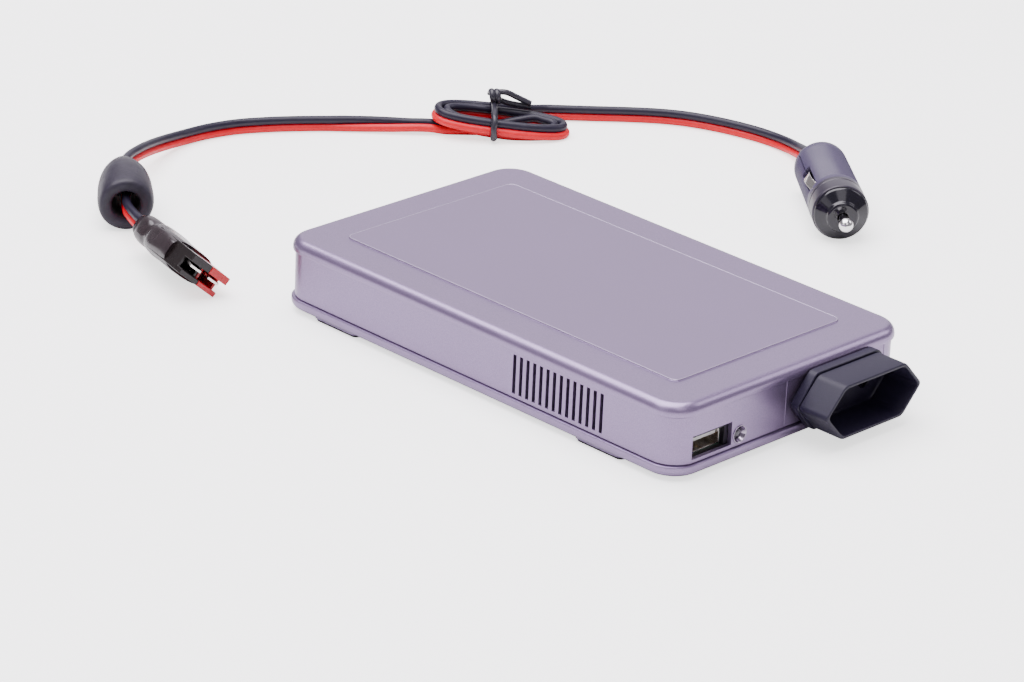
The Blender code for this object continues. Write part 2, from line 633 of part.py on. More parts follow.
def cord():
    """Two plain tubes, the solid that the tied hank fills, and the tie round its middle."""
    tube("cord_run_ferrite_side", smooth_route(ROUTE_TO_HANK, 0.0055), CORD_TUBE, "rubber")
    tube("cord_run_plug_side", smooth_route(ROUTE_TO_PLUG, 0.0060), CORD_TUBE, "rubber")

    frame = empty("hank_frame", HANK)
    frame.rotation_euler = (0, 0, HANK_HEADING)
    outline = rounded_rectangle((-0.0233, -0.0096), (0.0223, 0.0108), 0.0101, 7)
    slab("cord_hank", outline, 0.0018, 0.0088, "rubber", frame)

    loop = [rounded_rectangle((-0.0114, 0.0002), (0.0126, 0.0116), 0.0024, 4),
            rounded_rectangle((-0.0099, 0.0015), (0.0111, 0.0092), 0.0006, 3)]
    tie = prism("hank_tie", loop, 0.0020, "rubber", frame)
    tie.rotation_euler = (pi / 2, 0, pi / 2)
    tie.location.x = -0.0025


def ferrite():
    """Ferrite core in a shrunk sleeve; the cord runs through both."""
    frame = axis_frame("ferrite_frame", FERRITE_MOUTH, FERRITE_HEADING)
    core = [(0.0073, 0.0205), (0.0073, 0.0022), (0.0050, 0.0022), (0.0050, 0.0205)]
    turned("ferrite_core", core, "ferrite", frame, closed=True)
    sleeve = [(0.0036, FERRITE_LENGTH), (0.0042, FERRITE_LENGTH - 0.0004), (0.0051, 0.0304),
              (0.0064, 0.0268), (0.0079, 0.0215), (0.0088, 0.0150), (0.0089, 0.0060),
              (0.0083, 0.0008), (0.0067, 0.0), (0.0047, 0.0004), (0.0046, 0.0016), (0.0079, 0.0018),
              (0.0079, 0.0150), (0.0075, 0.0210), (0.0058, 0.0266), (0.0038, 0.0312)]
    turned("ferrite_sleeve", sleeve, "sleeve", frame, closed=True)


def connector():
    """Two housings, their contacts and the boot shrunk over the joints behind them."""
    frame = axis_frame("connector_frame", CONNECTOR_TIP, CONNECTOR_HEADING, CONNECTOR_ROLL)
    for side, color in ((1, "black"), (-1, "red")):
        housing(f"connector_housing_{color}", frame, side, f"{color}_plastic")
        blade(f"connector_contact_{color}", frame, side)

    # Sections of the boot: distance behind the mouth, half height, half width.
    sections = [(0.0124, 0.0046, 0.0086), (0.0219, 0.0049, 0.0089), (0.0284, 0.0052, 0.0080),
                (0.0319, 0.0040, 0.0058), (0.0349, 0.0047, 0.0062), (0.0384, 0.0047, 0.0060),
                (0.0414, 0.0040, 0.0048), (0.0442, 0.0034, 0.0038)]
    sides, power = 20, 0.62

    def build(shape):
        rings = []
        for back, half_height, half_width in sections:
            ring = []
            for step in range(sides):
                c, s = cos(2 * pi * step / sides), sin(2 * pi * step / sides)
                ring.append(shape.verts.new((half_height * np.sign(c) * abs(c) ** power,
                                             half_width * np.sign(s) * abs(s) ** power, -back)))
            rings.append(ring)
        for first, second in zip(rings, rings[1:]):
            for a, b, c, d in zip(first, first[1:] + first[:1], second[1:] + second[:1], second):
                shape.faces.new((a, d, c, b))
        shape.faces.new(rings[0])
        shape.faces.new(rings[-1][::-1])
        bmesh.ops.recalc_face_normals(shape, faces=shape.faces)

    boot = add_object("connector_boot", mesh_from(build), "sleeve", frame)
    reach = HOUSING + FINE_GAP
    cut(boot, box("boot_pocket", (-HOUSING / 2 - FINE_GAP, -reach, -HOUSING_LENGTH - GAP),
                  (HOUSING / 2 + FINE_GAP, reach, -0.0080), parent=frame))


def plug():
    """Vehicle plug: two body halves, collar, nose, sprung pin, fuse and two side contacts."""
    frame = axis_frame("plug_frame", PLUG_BASE, PLUG_HEADING, PLUG_ROLL)
    rim, bore = 0.0327, 0.0036
    profile = [(0.0, rim), (0.0091, rim), (0.0092, 0.0300), (0.0090, PLUG_REAR + 0.0035),
               (0.0083, PLUG_REAR + 0.0012), (0.0066, PLUG_REAR), (0.0, PLUG_REAR)]
    for side, name in ((1, "upper"), (-1, "lower")):
        half = turned(f"plug_body_{name}", profile, "sleeve", frame, steps=36)
        cut(half, cylinder(f"plug_bore_{name}", bore, 0.0115, 0.0400, parent=frame, sides=20))
        low, high = sorted((-side * 0.0200, side * 0.00008))
        cut(half, box(f"plug_split_{name}", (low, -0.0200, -0.0100), (high, 0.0200, 0.0500),
                      parent=frame))
        for wing in (-1, 1):
            low_y, high_y = sorted((wing * 0.0046, wing * 0.0150))
            cut(half, box(f"plug_slot_{name}_{wing}", (-0.0020, low_y, 0.0160),
                          (0.0020, high_y, 0.0312), parent=frame))

    nose_frame = empty("nose_frame", parent=frame)
    collar = [(0.0036, 0.0416), (0.0089, 0.0416), (0.0093, 0.0412), (0.0093, 0.0334),
              (0.0091, 0.0330), (0.0036, 0.0330)]
    turned("plug_collar", collar, "sleeve", nose_frame, steps=36, closed=True)
    nose = [(0.00175, 0.0462), (0.0047, 0.0462), (0.0050, 0.0459), (0.0052, 0.0450),
            (0.0086, 0.0427), (0.0088, 0.0419), (0.0036, 0.0419), (0.0036, 0.0445), (0.00175, 0.0445)]
    turned("plug_nose", nose, "gloss_black", nose_frame, steps=36, closed=True)

    pin_frame = empty("pin_frame", parent=frame)
    ball, centre = 0.00235, 0.0520
    pin = [(0.0, centre + ball)]
    pin += [(ball * sin(angle), centre + ball * cos(angle))
            for angle in (radians(step) for step in range(24, 145, 24))]
    pin += [(0.0015, 0.0442), (0.0030, 0.0442), (0.0030, 0.0410), (0.0, 0.0410)]
    turned("plug_pin", pin, "nickel", pin_frame, steps=20)
    fuse = [(0.0, 0.0407), (0.0026, 0.0407), (0.0026, 0.0212), (0.0, 0.0212)]
    turned("plug_fuse", fuse, "lens", pin_frame, steps=16)
    turns, per_turn = 4, 10
    helix = [(0.0024 * cos(2 * pi * step / per_turn), 0.0024 * sin(2 * pi * step / per_turn),
              0.0124 + 0.0048 * step / (turns * per_turn)) for step in range(turns * per_turn + 1)]
    tube("plug_spring", helix, 0.00055, "steel", frame, resolution=1)

    for wing, name in ((1, "left"), (-1, "right")):
        hinge = empty(f"side_contact_hinge_{name}", (0.0, wing * 0.0075, 0.0165), frame)
        outer = [(z, 0.0018 * sin(pi * z / 0.0140) + 0.0006) for z in np.linspace(0.0, 0.0140, 9)]
        inner = [(z, out - 0.0006) for z, out in outer[::-1]]
        outline = [(z, wing * out) for z, out in outer + inner]
        leaf = prism(f"side_contact_{name}", [outline], 0.0032, "nickel", hinge)
        leaf.rotation_euler = (0, -pi / 2, 0)


def main():
    clear_scene()
    top_cover()
    bottom_tray()
    wall_band()
    feet_and_screws()
    outlet()
    small_ports()
    rear_end()
    inside()
    blower()
    cord()
    ferrite()
    connector()
    plug()
    bpy.context.view_layer.update()


main()
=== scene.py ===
"""Looks of a slim metal power inverter and its unplugged two-core input lead.

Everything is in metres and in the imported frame's own axes: +Z is up, +Y runs to the cable end, and
the origin is under the middle of the case.  Each piece is a surface worked out on a grid, or a
softened copy of its CAD node, and every finish is a procedural material.
"""

import json
import logging
from collections.abc import Sequence
from dataclasses import dataclass, field
from enum import Enum
from functools import cache
from math import cos, pi, radians, sin

import bmesh
import bpy
import numpy as np
from mathutils import Matrix, Vector

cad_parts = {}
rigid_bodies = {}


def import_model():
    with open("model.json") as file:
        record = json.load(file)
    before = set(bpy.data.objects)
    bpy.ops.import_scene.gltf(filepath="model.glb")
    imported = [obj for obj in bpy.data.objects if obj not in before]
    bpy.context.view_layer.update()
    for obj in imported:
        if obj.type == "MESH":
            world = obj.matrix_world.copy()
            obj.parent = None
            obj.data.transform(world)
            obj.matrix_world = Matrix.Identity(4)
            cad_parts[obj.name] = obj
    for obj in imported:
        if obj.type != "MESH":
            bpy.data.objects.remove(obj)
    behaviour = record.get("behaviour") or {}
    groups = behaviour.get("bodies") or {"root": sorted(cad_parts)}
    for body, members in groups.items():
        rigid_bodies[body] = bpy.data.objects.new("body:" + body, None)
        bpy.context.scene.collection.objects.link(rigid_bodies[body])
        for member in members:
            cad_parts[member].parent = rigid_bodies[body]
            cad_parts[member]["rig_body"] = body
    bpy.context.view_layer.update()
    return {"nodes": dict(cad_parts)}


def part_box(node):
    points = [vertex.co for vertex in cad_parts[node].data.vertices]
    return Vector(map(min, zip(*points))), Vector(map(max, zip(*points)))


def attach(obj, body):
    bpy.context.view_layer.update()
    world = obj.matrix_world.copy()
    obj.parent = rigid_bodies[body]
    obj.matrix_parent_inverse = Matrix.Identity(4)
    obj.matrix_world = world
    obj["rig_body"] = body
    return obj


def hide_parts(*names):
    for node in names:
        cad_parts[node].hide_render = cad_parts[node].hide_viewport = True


LOG = logging.getLogger("inverter")
WELD = 1e-6                         # corners nearer than this are one corner
MIX_FACTOR, MIX_A, MIX_B, MIX_RESULT = 0, 6, 7, 2     # a colour Mix node's sockets
CORNERS = range(1, 5)               # the case has a foot and a screw at each corner

Array = np.ndarray
Piece = bpy.types.Object
Color = tuple[float, float, float]
Point = tuple[float, float, float]


# ------------------------------------------------------------------------------ surfaces
def stood(name: str, data: bpy.types.ID) -> Piece:
    """Put a new object into the scene, at the origin."""
    made = bpy.data.objects.new(name, data)
    bpy.context.scene.collection.objects.link(made)
    return made


def shaded(mesh: bpy.types.Mesh, sharp: float) -> None:
    """Shade a mesh smooth, with edges above an angle in degrees kept sharp."""
    mesh.shade_smooth()
    mesh.set_sharp_from_angle(angle=radians(sharp))


def flattened(wave: Array, power: float) -> Array:
    """Return sgn(w)|w|^power, which squares off a circle's cosine and sine."""
    return np.sign(wave) * np.abs(wave) ** power


def plan_of(node: str, grow: float = 0.0) -> tuple[tuple[float, float], tuple[float, float]]:
    """Return a CAD node's middle and half sides in plan, each half side longer by a growth."""
    low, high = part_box(node)
    middle = ((low.x + high.x) / 2, (low.y + high.y) / 2)
    return middle, ((high.x - low.x) / 2 + grow, (high.y - low.y) / 2 + grow)


def softened(points: Sequence | Array, radius: float, closed: bool = False, steps: int = 5) -> Array:
    """Round the corners of a line of points, in two or three dimensions.

    Each corner c between a and b becomes the curve (1-s)^2 p + 2s(1-s) c + s^2 q, where p and q lie
    on the two sides, a radius away from c or half a side away where that is nearer.

    Args:
        points: The line's corners.
        radius: Distance from a corner at which its curve begins.
        closed: Whether the last point joins the first.
        steps: Points in each corner's curve.

    Returns:
        The rounded line's points.
    """
    corners = np.asarray(points, float)
    before, after = np.roll(corners, 1, 0), np.roll(corners, -1, 0)
    to_before, to_after = before - corners, after - corners
    length_before = np.linalg.norm(to_before, axis=1, keepdims=True)
    length_after = np.linalg.norm(to_after, axis=1, keepdims=True)
    start = corners + to_before * np.minimum(radius / length_before, 0.49)
    end = corners + to_after * np.minimum(radius / length_after, 0.49)
    s = np.linspace(0, 1, steps)[None, :, None]
    curves = (1 - s) ** 2 * start[:, None] + 2 * s * (1 - s) * corners[:, None] + s ** 2 * end[:, None]
    if closed:
        return curves.reshape(-1, corners.shape[1])
    inner = curves[1:-1].reshape(-1, corners.shape[1])
    return np.vstack([corners[:1], inner, corners[-1:]])


def smooth_path(points: Sequence | Array, spacing: float) -> Array:
    """Draw a smooth curve through points and return points evenly along it.

    Between two given points the curve is the Catmull-Rom cubic of them and their neighbours.

    Args:
        points: Points that the curve passes through.
        spacing: Distance between the returned points.

    Returns:
        The curve's points, of shape (n, 3).
    """
    given = np.asarray(points, float)
    padded = np.vstack([2 * given[0] - given[1], given, 2 * given[-1] - given[-2]])
    p0, p1, p2, p3 = (padded[k:len(padded) - 3 + k, None] for k in range(4))
    t = np.linspace(0, 1, 16, endpoint=False)[None, :, None]
    dense = 0.5 * (2 * p1 + (p2 - p0) * t + (2 * p0 - 5 * p1 + 4 * p2 - p3) * t ** 2
                   + (3 * p1 - p0 - 3 * p2 + p3) * t ** 3)
    return evenly(np.vstack([dense.reshape(-1, 3), given[-1:]]), spacing)


def reach_of(path: Array) -> Array:
    """Return how far along a line of points each of them lies."""
    return np.concatenate([[0.0], np.cumsum(np.linalg.norm(np.diff(path, axis=0), axis=1))])


def evenly(path: Array, spacing: float) -> Array:
    """Return points evenly along a line of points."""
    reach = reach_of(path)
    places = np.linspace(0, reach[-1], max(2, round(reach[-1] / spacing)) + 1)
    return np.stack([np.interp(places, reach, path[:, axis]) for axis in range(3)], axis=1)


def length_of(path: Array) -> float:
    """Return the length of a line of points."""
    return float(reach_of(path)[-1])


@dataclass(frozen=True)
class Placement:
    """A level axis in the frame: its local Z lies along a heading, and its local X is up at no roll."""

    origin: Point = (0.0, 0.0, 0.0)
    heading: float = 0.0
    roll: float = 0.0

    def axes(self) -> Array:
        """Return the three local axes as the columns of a matrix."""
        forward = np.array([cos(self.heading), sin(self.heading), 0.0])
        up = np.array([0.0, 0.0, 1.0])
        across = np.cross(forward, up)
        x = cos(self.roll) * up + sin(self.roll) * across
        y = cos(self.roll) * across - sin(self.roll) * up
        return np.stack([x, y, forward], axis=1)

    def to_frame(self, points: Array) -> Array:
        """Return local points in the frame's coordinates."""
        return points @ self.axes().T + np.array(self.origin)


@dataclass(frozen=True)
class Facing:
    """A place whose local Z points out of the case's front, along -Y, with local X to the right."""

    origin: Point

    def to_frame(self, points: Array) -> Array:
        """Return local points in the frame's coordinates."""
        turned = np.stack([points[..., 0], -points[..., 2], points[..., 1]], axis=-1)
        return turned + np.array(self.origin)


@dataclass(frozen=True)
class Upright:
    """A place whose axes are the frame's own."""

    origin: Point = (0.0, 0.0, 0.0)

    def to_frame(self, points: Array) -> Array:
        """Return local points in the frame's coordinates."""
        return points + np.array(self.origin)


Place = Placement | Facing | Upright


def piece_from(name: str, points: Array, faces: list[list[int]], uv: Array | None = None,
               sharp: float = 40.0) -> Piece:
    """Make a piece of points and faces, welded, facing outwards and smooth up to an angle.

    Args:
        name: The piece's name.
        points: Corners, of shape (n, 3).
        faces: Each face's corners.
        uv: One pair for each face corner, in the order of the faces, or None.
        sharp: Angle in degrees above which an edge stays sharp.

    Returns:
        The new object, at the origin.
    """
    mesh = bpy.data.meshes.new(name)
    mesh.from_pydata(points.tolist(), [], faces)
    if uv is not None:
        mesh.uv_layers.new(name="UVMap").data.foreach_set("uv", uv.astype(np.float32).ravel())
    shape = bmesh.new()
    shape.from_mesh(mesh)
    bmesh.ops.remove_doubles(shape, verts=shape.verts, dist=WELD)
    bmesh.ops.recalc_face_normals(shape, faces=shape.faces)
    shape.to_mesh(mesh)
    shape.free()
    shaded(mesh, sharp)
    return stood(name, mesh)


def grid_piece(name: str, grid: Array, closed_rings: bool = False, uv_scale: float | None = None,
               sharp: float = 40.0) -> Piece:
    """Make a closed piece of a grid of rings, each ring closed, with flat caps where the rings end.

    Args:
        name: The piece's name.
        grid: Points of shape (rings, points in a ring, 3).
        closed_rings: Whether the last ring joins the first, as on a tyre.
        uv_scale: Distance between rings, for a UV map with U along the piece and V round it.
        sharp: Angle in degrees above which an edge stays sharp.

    Returns:
        The new object, at the origin.
    """
    rings, around = grid.shape[:2]
    i, j = np.meshgrid(np.arange(rings - (not closed_rings)), np.arange(around), indexing="ij")
    corner_i = np.stack([i, i, i + 1, i + 1], axis=-1).reshape(-1, 4)
    corner_j = np.stack([j, j + 1, j + 1, j], axis=-1).reshape(-1, 4)
    faces = ((corner_i % rings) * around + corner_j % around).tolist()
    uv = np.stack([corner_i * (uv_scale or 1 / rings), corner_j / around], axis=-1).reshape(-1, 2)
    if not closed_rings:
        faces += [list(range(around))[::-1], list(range((rings - 1) * around, rings * around))]
        uv = np.vstack([uv, np.zeros((2 * around, 2))])
    return piece_from(name, grid.reshape(-1, 3), faces, uv, sharp)


def turned(name: str, profile: Sequence | Array, place: Place, steps: int = 72, closed: bool = False,
           wobble: float = 0.0) -> Piece:
    """Turn a profile about a local Z axis: x = r cos a, y = r sin a, z = z.

    Args:
        name: The piece's name.
        profile: Pairs of radius and height.
        place: Where the axis lies.
        steps: Points round the axis.
        closed: Whether the profile closes on itself, as a ring's does.
        wobble: Share by which the radius wanders round the piece, as on a shrunk sleeve.

    Returns:
        The new piece.
    """
    radius, height = (column[:, None] for column in np.asarray(profile, float).T)
    angle = np.linspace(0, 2 * pi, steps, endpoint=False)[None, :]
    wander = 0.6 * np.sin(2 * angle + 90 * height) + 0.4 * np.sin(5 * angle - 140 * height)
    radius = radius * (1 + wobble * wander)
    grid = np.stack([radius * np.cos(angle), radius * np.sin(angle), height + 0 * angle], axis=-1)
    return grid_piece(name, place.to_frame(grid), closed_rings=closed)


def ring_stack(centre: tuple[float, float], half: tuple[float, float], corner: Array | float,
               inset: Array, height: Array, steps: int = 12) -> Array:
    """Stack rounded rectangles, one for each inset and height.

    On each ring the corner arcs are c + r (cos a, sin a), where c is the arc's middle.

    Args:
        centre: The rings' middle, in plan.
        half: Half of the outermost ring's two sides.
        corner: Corner radius of each ring.
        inset: How far each ring's sides lie inside the outermost ring's.
        height: Each ring's height.
        steps: Parts of each corner's arc.

    Returns:
        Grid of shape (rings, points in a ring, 3).
    """
    quarter = np.repeat(np.arange(4), steps + 1)
    angle = (quarter + np.tile(np.linspace(0, 1, steps + 1), 4)) * pi / 2
    side_x = np.array([1, -1, -1, 1])[quarter]
    side_y = np.array([1, 1, -1, -1])[quarter]
    inset, height = np.asarray(inset, float)[:, None], np.asarray(height, float)[:, None]
    radius = np.broadcast_to(np.asarray(corner, float), (len(inset),))[:, None]
    x = centre[0] + side_x * (half[0] - inset - radius) + radius * np.cos(angle)
    y = centre[1] + side_y * (half[1] - inset - radius) + radius * np.sin(angle)
    return np.stack([x, y, np.broadcast_to(height, x.shape)], axis=-1)


def swept(name: str, path: Array, section: Array, hint: Point, closed: bool = False,
          turn: Array | float = 0.0, sharp: float = 60.0) -> Piece:
    """Carry a section along a path.

    At each place the section's first axis is the side, tangent x hint, and its second is side x
    tangent, both turned about the tangent by an angle.

    Args:
        name: The piece's name.
        path: Middle line, of shape (n, 3).
        section: Pairs across the path, of shape (m, 2), or (n, m, 2) where it changes on the way.
        hint: Direction that the section's second axis keeps to.
        closed: Whether the path closes on itself.
        turn: Angle at each place.
        sharp: Angle in degrees above which an edge stays sharp.

    Returns:
        The new piece, with U along the path in metres and V round it from 0 to 1.
    """
    ahead = np.roll(path, -1, 0) - np.roll(path, 1, 0) if closed else np.gradient(path, axis=0)
    tangent = ahead / np.linalg.norm(ahead, axis=1, keepdims=True)
    side = np.cross(tangent, np.array(hint, float))
    side /= np.linalg.norm(side, axis=1, keepdims=True)
    rise = np.cross(side, tangent)
    angle = np.broadcast_to(np.asarray(turn, float), (len(path),))[:, None]
    first, second = side * np.cos(angle) + rise * np.sin(angle), rise * np.cos(angle) - side * np.sin(angle)
    grid = (path[:, None] + section[..., 0:1] * first[:, None] + section[..., 1:2] * second[:, None])
    return grid_piece(name, grid, closed_rings=closed, uv_scale=length_of(path) / len(path), sharp=sharp)


def round_section(radius: float, sides: int = 16) -> Array:
    """Return a circle's points, (r cos a, r sin a)."""
    angle = np.linspace(0, 2 * pi, sides, endpoint=False)
    return radius * np.stack([np.cos(angle), np.sin(angle)], axis=-1)


def joined(name: str, pieces: Sequence[Piece]) -> Piece:
    """Join several pieces into one.

    Args:
        name: The joined piece's name.
        pieces: Pieces at the origin, which are removed.

    Returns:
        The joined piece.
    """
    shape = bmesh.new()
    for piece in pieces:
        shape.from_mesh(piece.data)
        bpy.data.objects.remove(piece)
    mesh = bpy.data.meshes.new(name)
    shape.to_mesh(mesh)
    shape.free()
    shaded(mesh, 40.0)
    return stood(name, mesh)


def settled(piece: Piece, sharp: float = 40.0) -> Piece:
    """Turn a piece's modifiers into its mesh.

    Args:
        piece: Piece with modifiers.
        sharp: Angle in degrees above which an edge stays sharp.

    Returns:
        The same piece.
    """
    seen = bpy.context.evaluated_depsgraph_get()
    seen.update()
    mesh = bpy.data.meshes.new_from_object(piece.evaluated_get(seen))
    piece.modifiers.clear()
    piece.data = mesh
    shaded(mesh, sharp)
    return piece


def carved(piece: Piece, cutters: Sequence[Piece], operation: str = "DIFFERENCE") -> Piece:
    """Cut a piece with others, or join them to it, and remove those others.

    Args:
        piece: Closed piece to work on.
        cutters: Closed pieces.
        operation: DIFFERENCE to cut, UNION to join.

    Returns:
        The same piece.
    """
    for cutter in cutters:
        boolean = piece.modifiers.new(cutter.name, "BOOLEAN")
        boolean.operation = operation
        boolean.object = cutter
        boolean.solver = "EXACT"
    settled(piece)
    for cutter in cutters:
        bpy.data.objects.remove(cutter)
    return piece


def block(name: str, low: Point, high: Point, place: Place = Upright()) -> Piece:
    """Make a sharp local box between two corners, for cutting with."""
    low_x, low_y, low_z = low
    high_x, high_y, high_z = high
    ring = np.array([(low_x, low_y), (high_x, low_y), (high_x, high_y), (low_x, high_y)])
    grid = np.stack([np.column_stack([ring, np.full(4, z)]) for z in (low_z, high_z)])
    return grid_piece(name, place.to_frame(grid))


# ------------------------------------------------------------------------------ finishes
def wire(tree: bpy.types.NodeTree, source: bpy.types.NodeSocket, target: bpy.types.NodeSocket) -> None:
    """Join two sockets."""
    tree.links.new(source, target)


class Patterns:
    """Node groups that several finishes share, each built the first time it is asked for."""

    made: dict[str, bpy.types.NodeTree] = {}

    @classmethod
    def start(cls, name: str, inputs: dict[str, float | None], outputs: Sequence[str]) -> tuple:
        """Begin a group.

        Args:
            name: The group's name.
            inputs: Input names with their values, None for a vector.
            outputs: Names of its number outputs.

        Returns:
            The tree, its input node and its output node.
        """
        tree = bpy.data.node_groups.new(name, "ShaderNodeTree")
        for label, value in inputs.items():
            kind = "NodeSocketVector" if value is None else "NodeSocketFloat"
            socket = tree.interface.new_socket(name=label, in_out="INPUT", socket_type=kind)
            if value is not None:
                socket.default_value = value
        for label in outputs:
            tree.interface.new_socket(name=label, in_out="OUTPUT", socket_type="NodeSocketFloat")
        cls.made[name] = tree
        return tree, tree.nodes.new("NodeGroupInput"), tree.nodes.new("NodeGroupOutput")

    @classmethod
    def grain(cls) -> bpy.types.NodeTree:
        """Return the fine grain group: a dense noise as Height, and a harder one of it as Fleck."""
        if "fine_grain" in cls.made:
            return cls.made["fine_grain"]
        tree, given, out = cls.start("fine_grain", {"Vector": None, "Grains per metre": 2000.0,
                                                    "Stretch": 1.0}, ("Height", "Fleck"))
        stretch = tree.nodes.new("ShaderNodeCombineXYZ")
        stretch.inputs["X"].default_value = 1.0
        stretch.inputs["Z"].default_value = 1.0
        scaled = tree.nodes.new("ShaderNodeVectorMath")
        scaled.operation = "MULTIPLY"
        noise = tree.nodes.new("ShaderNodeTexNoise")
        noise.inputs["Detail"].default_value = 3.0
        noise.inputs["Roughness"].default_value = 0.6
        fleck = tree.nodes.new("ShaderNodeMapRange")
        fleck.inputs["From Min"].default_value = 0.35
        fleck.inputs["From Max"].default_value = 0.65
        wire(tree, given.outputs["Stretch"], stretch.inputs["Y"])
        wire(tree, given.outputs["Vector"], scaled.inputs[0])
        wire(tree, stretch.outputs["Vector"], scaled.inputs[1])
        wire(tree, scaled.outputs["Vector"], noise.inputs["Vector"])
        wire(tree, given.outputs["Grains per metre"], noise.inputs["Scale"])
        wire(tree, noise.outputs["Fac"], fleck.inputs["Value"])
        wire(tree, noise.outputs["Fac"], out.inputs["Height"])
        wire(tree, fleck.outputs["Result"], out.inputs["Fleck"])
        return tree

    @classmethod
    def handling(cls) -> bpy.types.NodeTree:
        """Return the handling group: soft patches where hands and cloths have dulled a surface."""
        if "handling_marks" in cls.made:
            return cls.made["handling_marks"]
        tree, given, out = cls.start("handling_marks", {"Vector": None, "Patches per metre": 40.0},
                                     ("Mask",))
        noise = tree.nodes.new("ShaderNodeTexNoise")
        noise.inputs["Detail"].default_value = 5.0
        noise.inputs["Distortion"].default_value = 0.6
        mask = tree.nodes.new("ShaderNodeMapRange")
        mask.interpolation_type = "SMOOTHSTEP"
        mask.inputs["From Min"].default_value = 0.38
        mask.inputs["From Max"].default_value = 0.68
        wire(tree, given.outputs["Vector"], noise.inputs["Vector"])
        wire(tree, given.outputs["Patches per metre"], noise.inputs["Scale"])
        wire(tree, noise.outputs["Fac"], mask.inputs["Value"])
        wire(tree, mask.outputs["Result"], out.inputs["Mask"])
        return tree


class Grain(Enum):
    """How a surface was made, as grains in a metre and their stretch along Y."""

    SPRAYED = (3800.0, 1.0)
    MOULDED = (2600.0, 1.0)
    POLISHED = (900.0, 1.0)
    DRAWN = (5200.0, 0.08)
    SHRUNK = (420.0, 1.0)


@dataclass(frozen=True)
class Finish:
    """A paint, plastic, rubber or metal, as its maker would specify it."""

    name: str
    slot: str
    color: Color
    roughness: float
    metallic: float = 0.0
    grain: Grain = Grain.MOULDED
    depth: float = 0.00001          # height of the grain, in metres
    fleck: float = 0.10             # share by which the grain darkens the colour
    dulling: float = 0.08           # roughness added where hands have dulled it
    coat: float = 0.0
    coat_roughness: float = 0.08
    specular: float = 0.5
    second: Color | None = None     # second core's colour, on a two-core cord
    clear: float = 0.0

    @cache
    def material(self) -> bpy.types.Material:
        """Build the finish's material once: grain to colour and bump, handling marks to roughness."""
        made = bpy.data.materials.new(f"{self.name}_finish")
        made.use_nodes = True
        tree = made.node_tree
        shader = tree.nodes["Principled BSDF"]
        shader.inputs["Metallic"].default_value = self.metallic
        shader.inputs["Coat Weight"].default_value = self.coat
        shader.inputs["Coat Roughness"].default_value = self.coat_roughness
        shader.inputs["Specular IOR Level"].default_value = self.specular
        shader.inputs["Transmission Weight"].default_value = self.clear

        where = tree.nodes.new("ShaderNodeTexCoord").outputs["Object"]
        grain = tree.nodes.new("ShaderNodeGroup")
        grain.node_tree = Patterns.grain()
        density, stretch = self.grain.value
        grain.inputs["Grains per metre"].default_value = density
        grain.inputs["Stretch"].default_value = stretch
        marks = tree.nodes.new("ShaderNodeGroup")
        marks.node_tree = Patterns.handling()
        wire(tree, where, grain.inputs["Vector"])
        wire(tree, where, marks.inputs["Vector"])

        plain = self.two_cores(tree) if self.second else None
        tint = tree.nodes.new("ShaderNodeMix")
        tint.data_type = "RGBA"
        tint.blend_type = "MULTIPLY"
        tint.inputs[MIX_A].default_value = (*self.color, 1.0)
        tint.inputs[MIX_B].default_value = (*(1.0 - 2 * self.fleck for _ in range(3)), 1.0)
        if plain:
            wire(tree, plain, tint.inputs[MIX_A])
        wire(tree, grain.outputs["Fleck"], tint.inputs[MIX_FACTOR])
        wire(tree, tint.outputs[MIX_RESULT], shader.inputs["Base Color"])

        dull = tree.nodes.new("ShaderNodeMapRange")
        dull.inputs["To Min"].default_value = self.roughness
        dull.inputs["To Max"].default_value = self.roughness + self.dulling
        wire(tree, marks.outputs["Mask"], dull.inputs["Value"])
        wire(tree, dull.outputs["Result"], shader.inputs["Roughness"])

        bump = tree.nodes.new("ShaderNodeBump")
        bump.inputs["Distance"].default_value = self.depth
        wire(tree, grain.outputs["Height"], bump.inputs["Height"])
        wire(tree, bump.outputs["Normal"], shader.inputs["Normal"])
        return made

    def two_cores(self, tree: bpy.types.NodeTree) -> bpy.types.NodeSocket:
        """Return the colour of a two-core cord: one below V = 0.5 and the other above it."""
        split = tree.nodes.new("ShaderNodeSeparateXYZ")
        core = tree.nodes.new("ShaderNodeMath")
        core.operation = "GREATER_THAN"
        core.inputs[1].default_value = 0.5
        choose = tree.nodes.new("ShaderNodeMix")
        choose.data_type = "RGBA"
        choose.inputs[MIX_A].default_value = (*self.color, 1.0)
        choose.inputs[MIX_B].default_value = (*self.second, 1.0)
        wire(tree, tree.nodes.new("ShaderNodeTexCoord").outputs["UV"], split.inputs["Vector"])
        wire(tree, split.outputs["Y"], core.inputs[0])
        wire(tree, core.outputs["Value"], choose.inputs[MIX_FACTOR])
        return choose.outputs[MIX_RESULT]


CASE_METAL = Finish("case_metal", "case", (0.290, 0.216, 0.366), 0.34, 0.85, Grain.SPRAYED, 0.000012, 0.10,
                    0.03, 0.25, 0.12)
# A lighter copy of the case metal for the bead along the cover's field: a painted highlight.
CREASE_HIGHLIGHT_METAL = Finish("painted_crease_highlight", "case", (0.52, 0.44, 0.59), 0.40, 0.85, Grain.SPRAYED, 0.000004)
SOCKET_PLASTIC = Finish("socket_plastic", "socket_black", (0.014, 0.011, 0.027), 0.38, depth=0.00001,
                        specular=0.28)
PORT_BLACK = Finish("port_black", "black_gloss", (0.010, 0.009, 0.012), 0.34, specular=0.35)
PORT_WHITE = Finish("port_white", "lamp_lens", (0.80, 0.79, 0.76), 0.35)
GLOSS_BLACK = Finish("gloss_black", "black_gloss", (0.006, 0.005, 0.010), 0.08, grain=Grain.POLISHED,
                     depth=0.000002, specular=0.55)
CONNECTOR_BLACK = Finish("connector_black", "black_gloss", (0.010, 0.007, 0.007), 0.20, depth=0.000004,
                         specular=0.4)
CONNECTOR_RED = Finish("connector_red", "red_gloss", (0.50, 0.004, 0.010), 0.24, depth=0.000004)
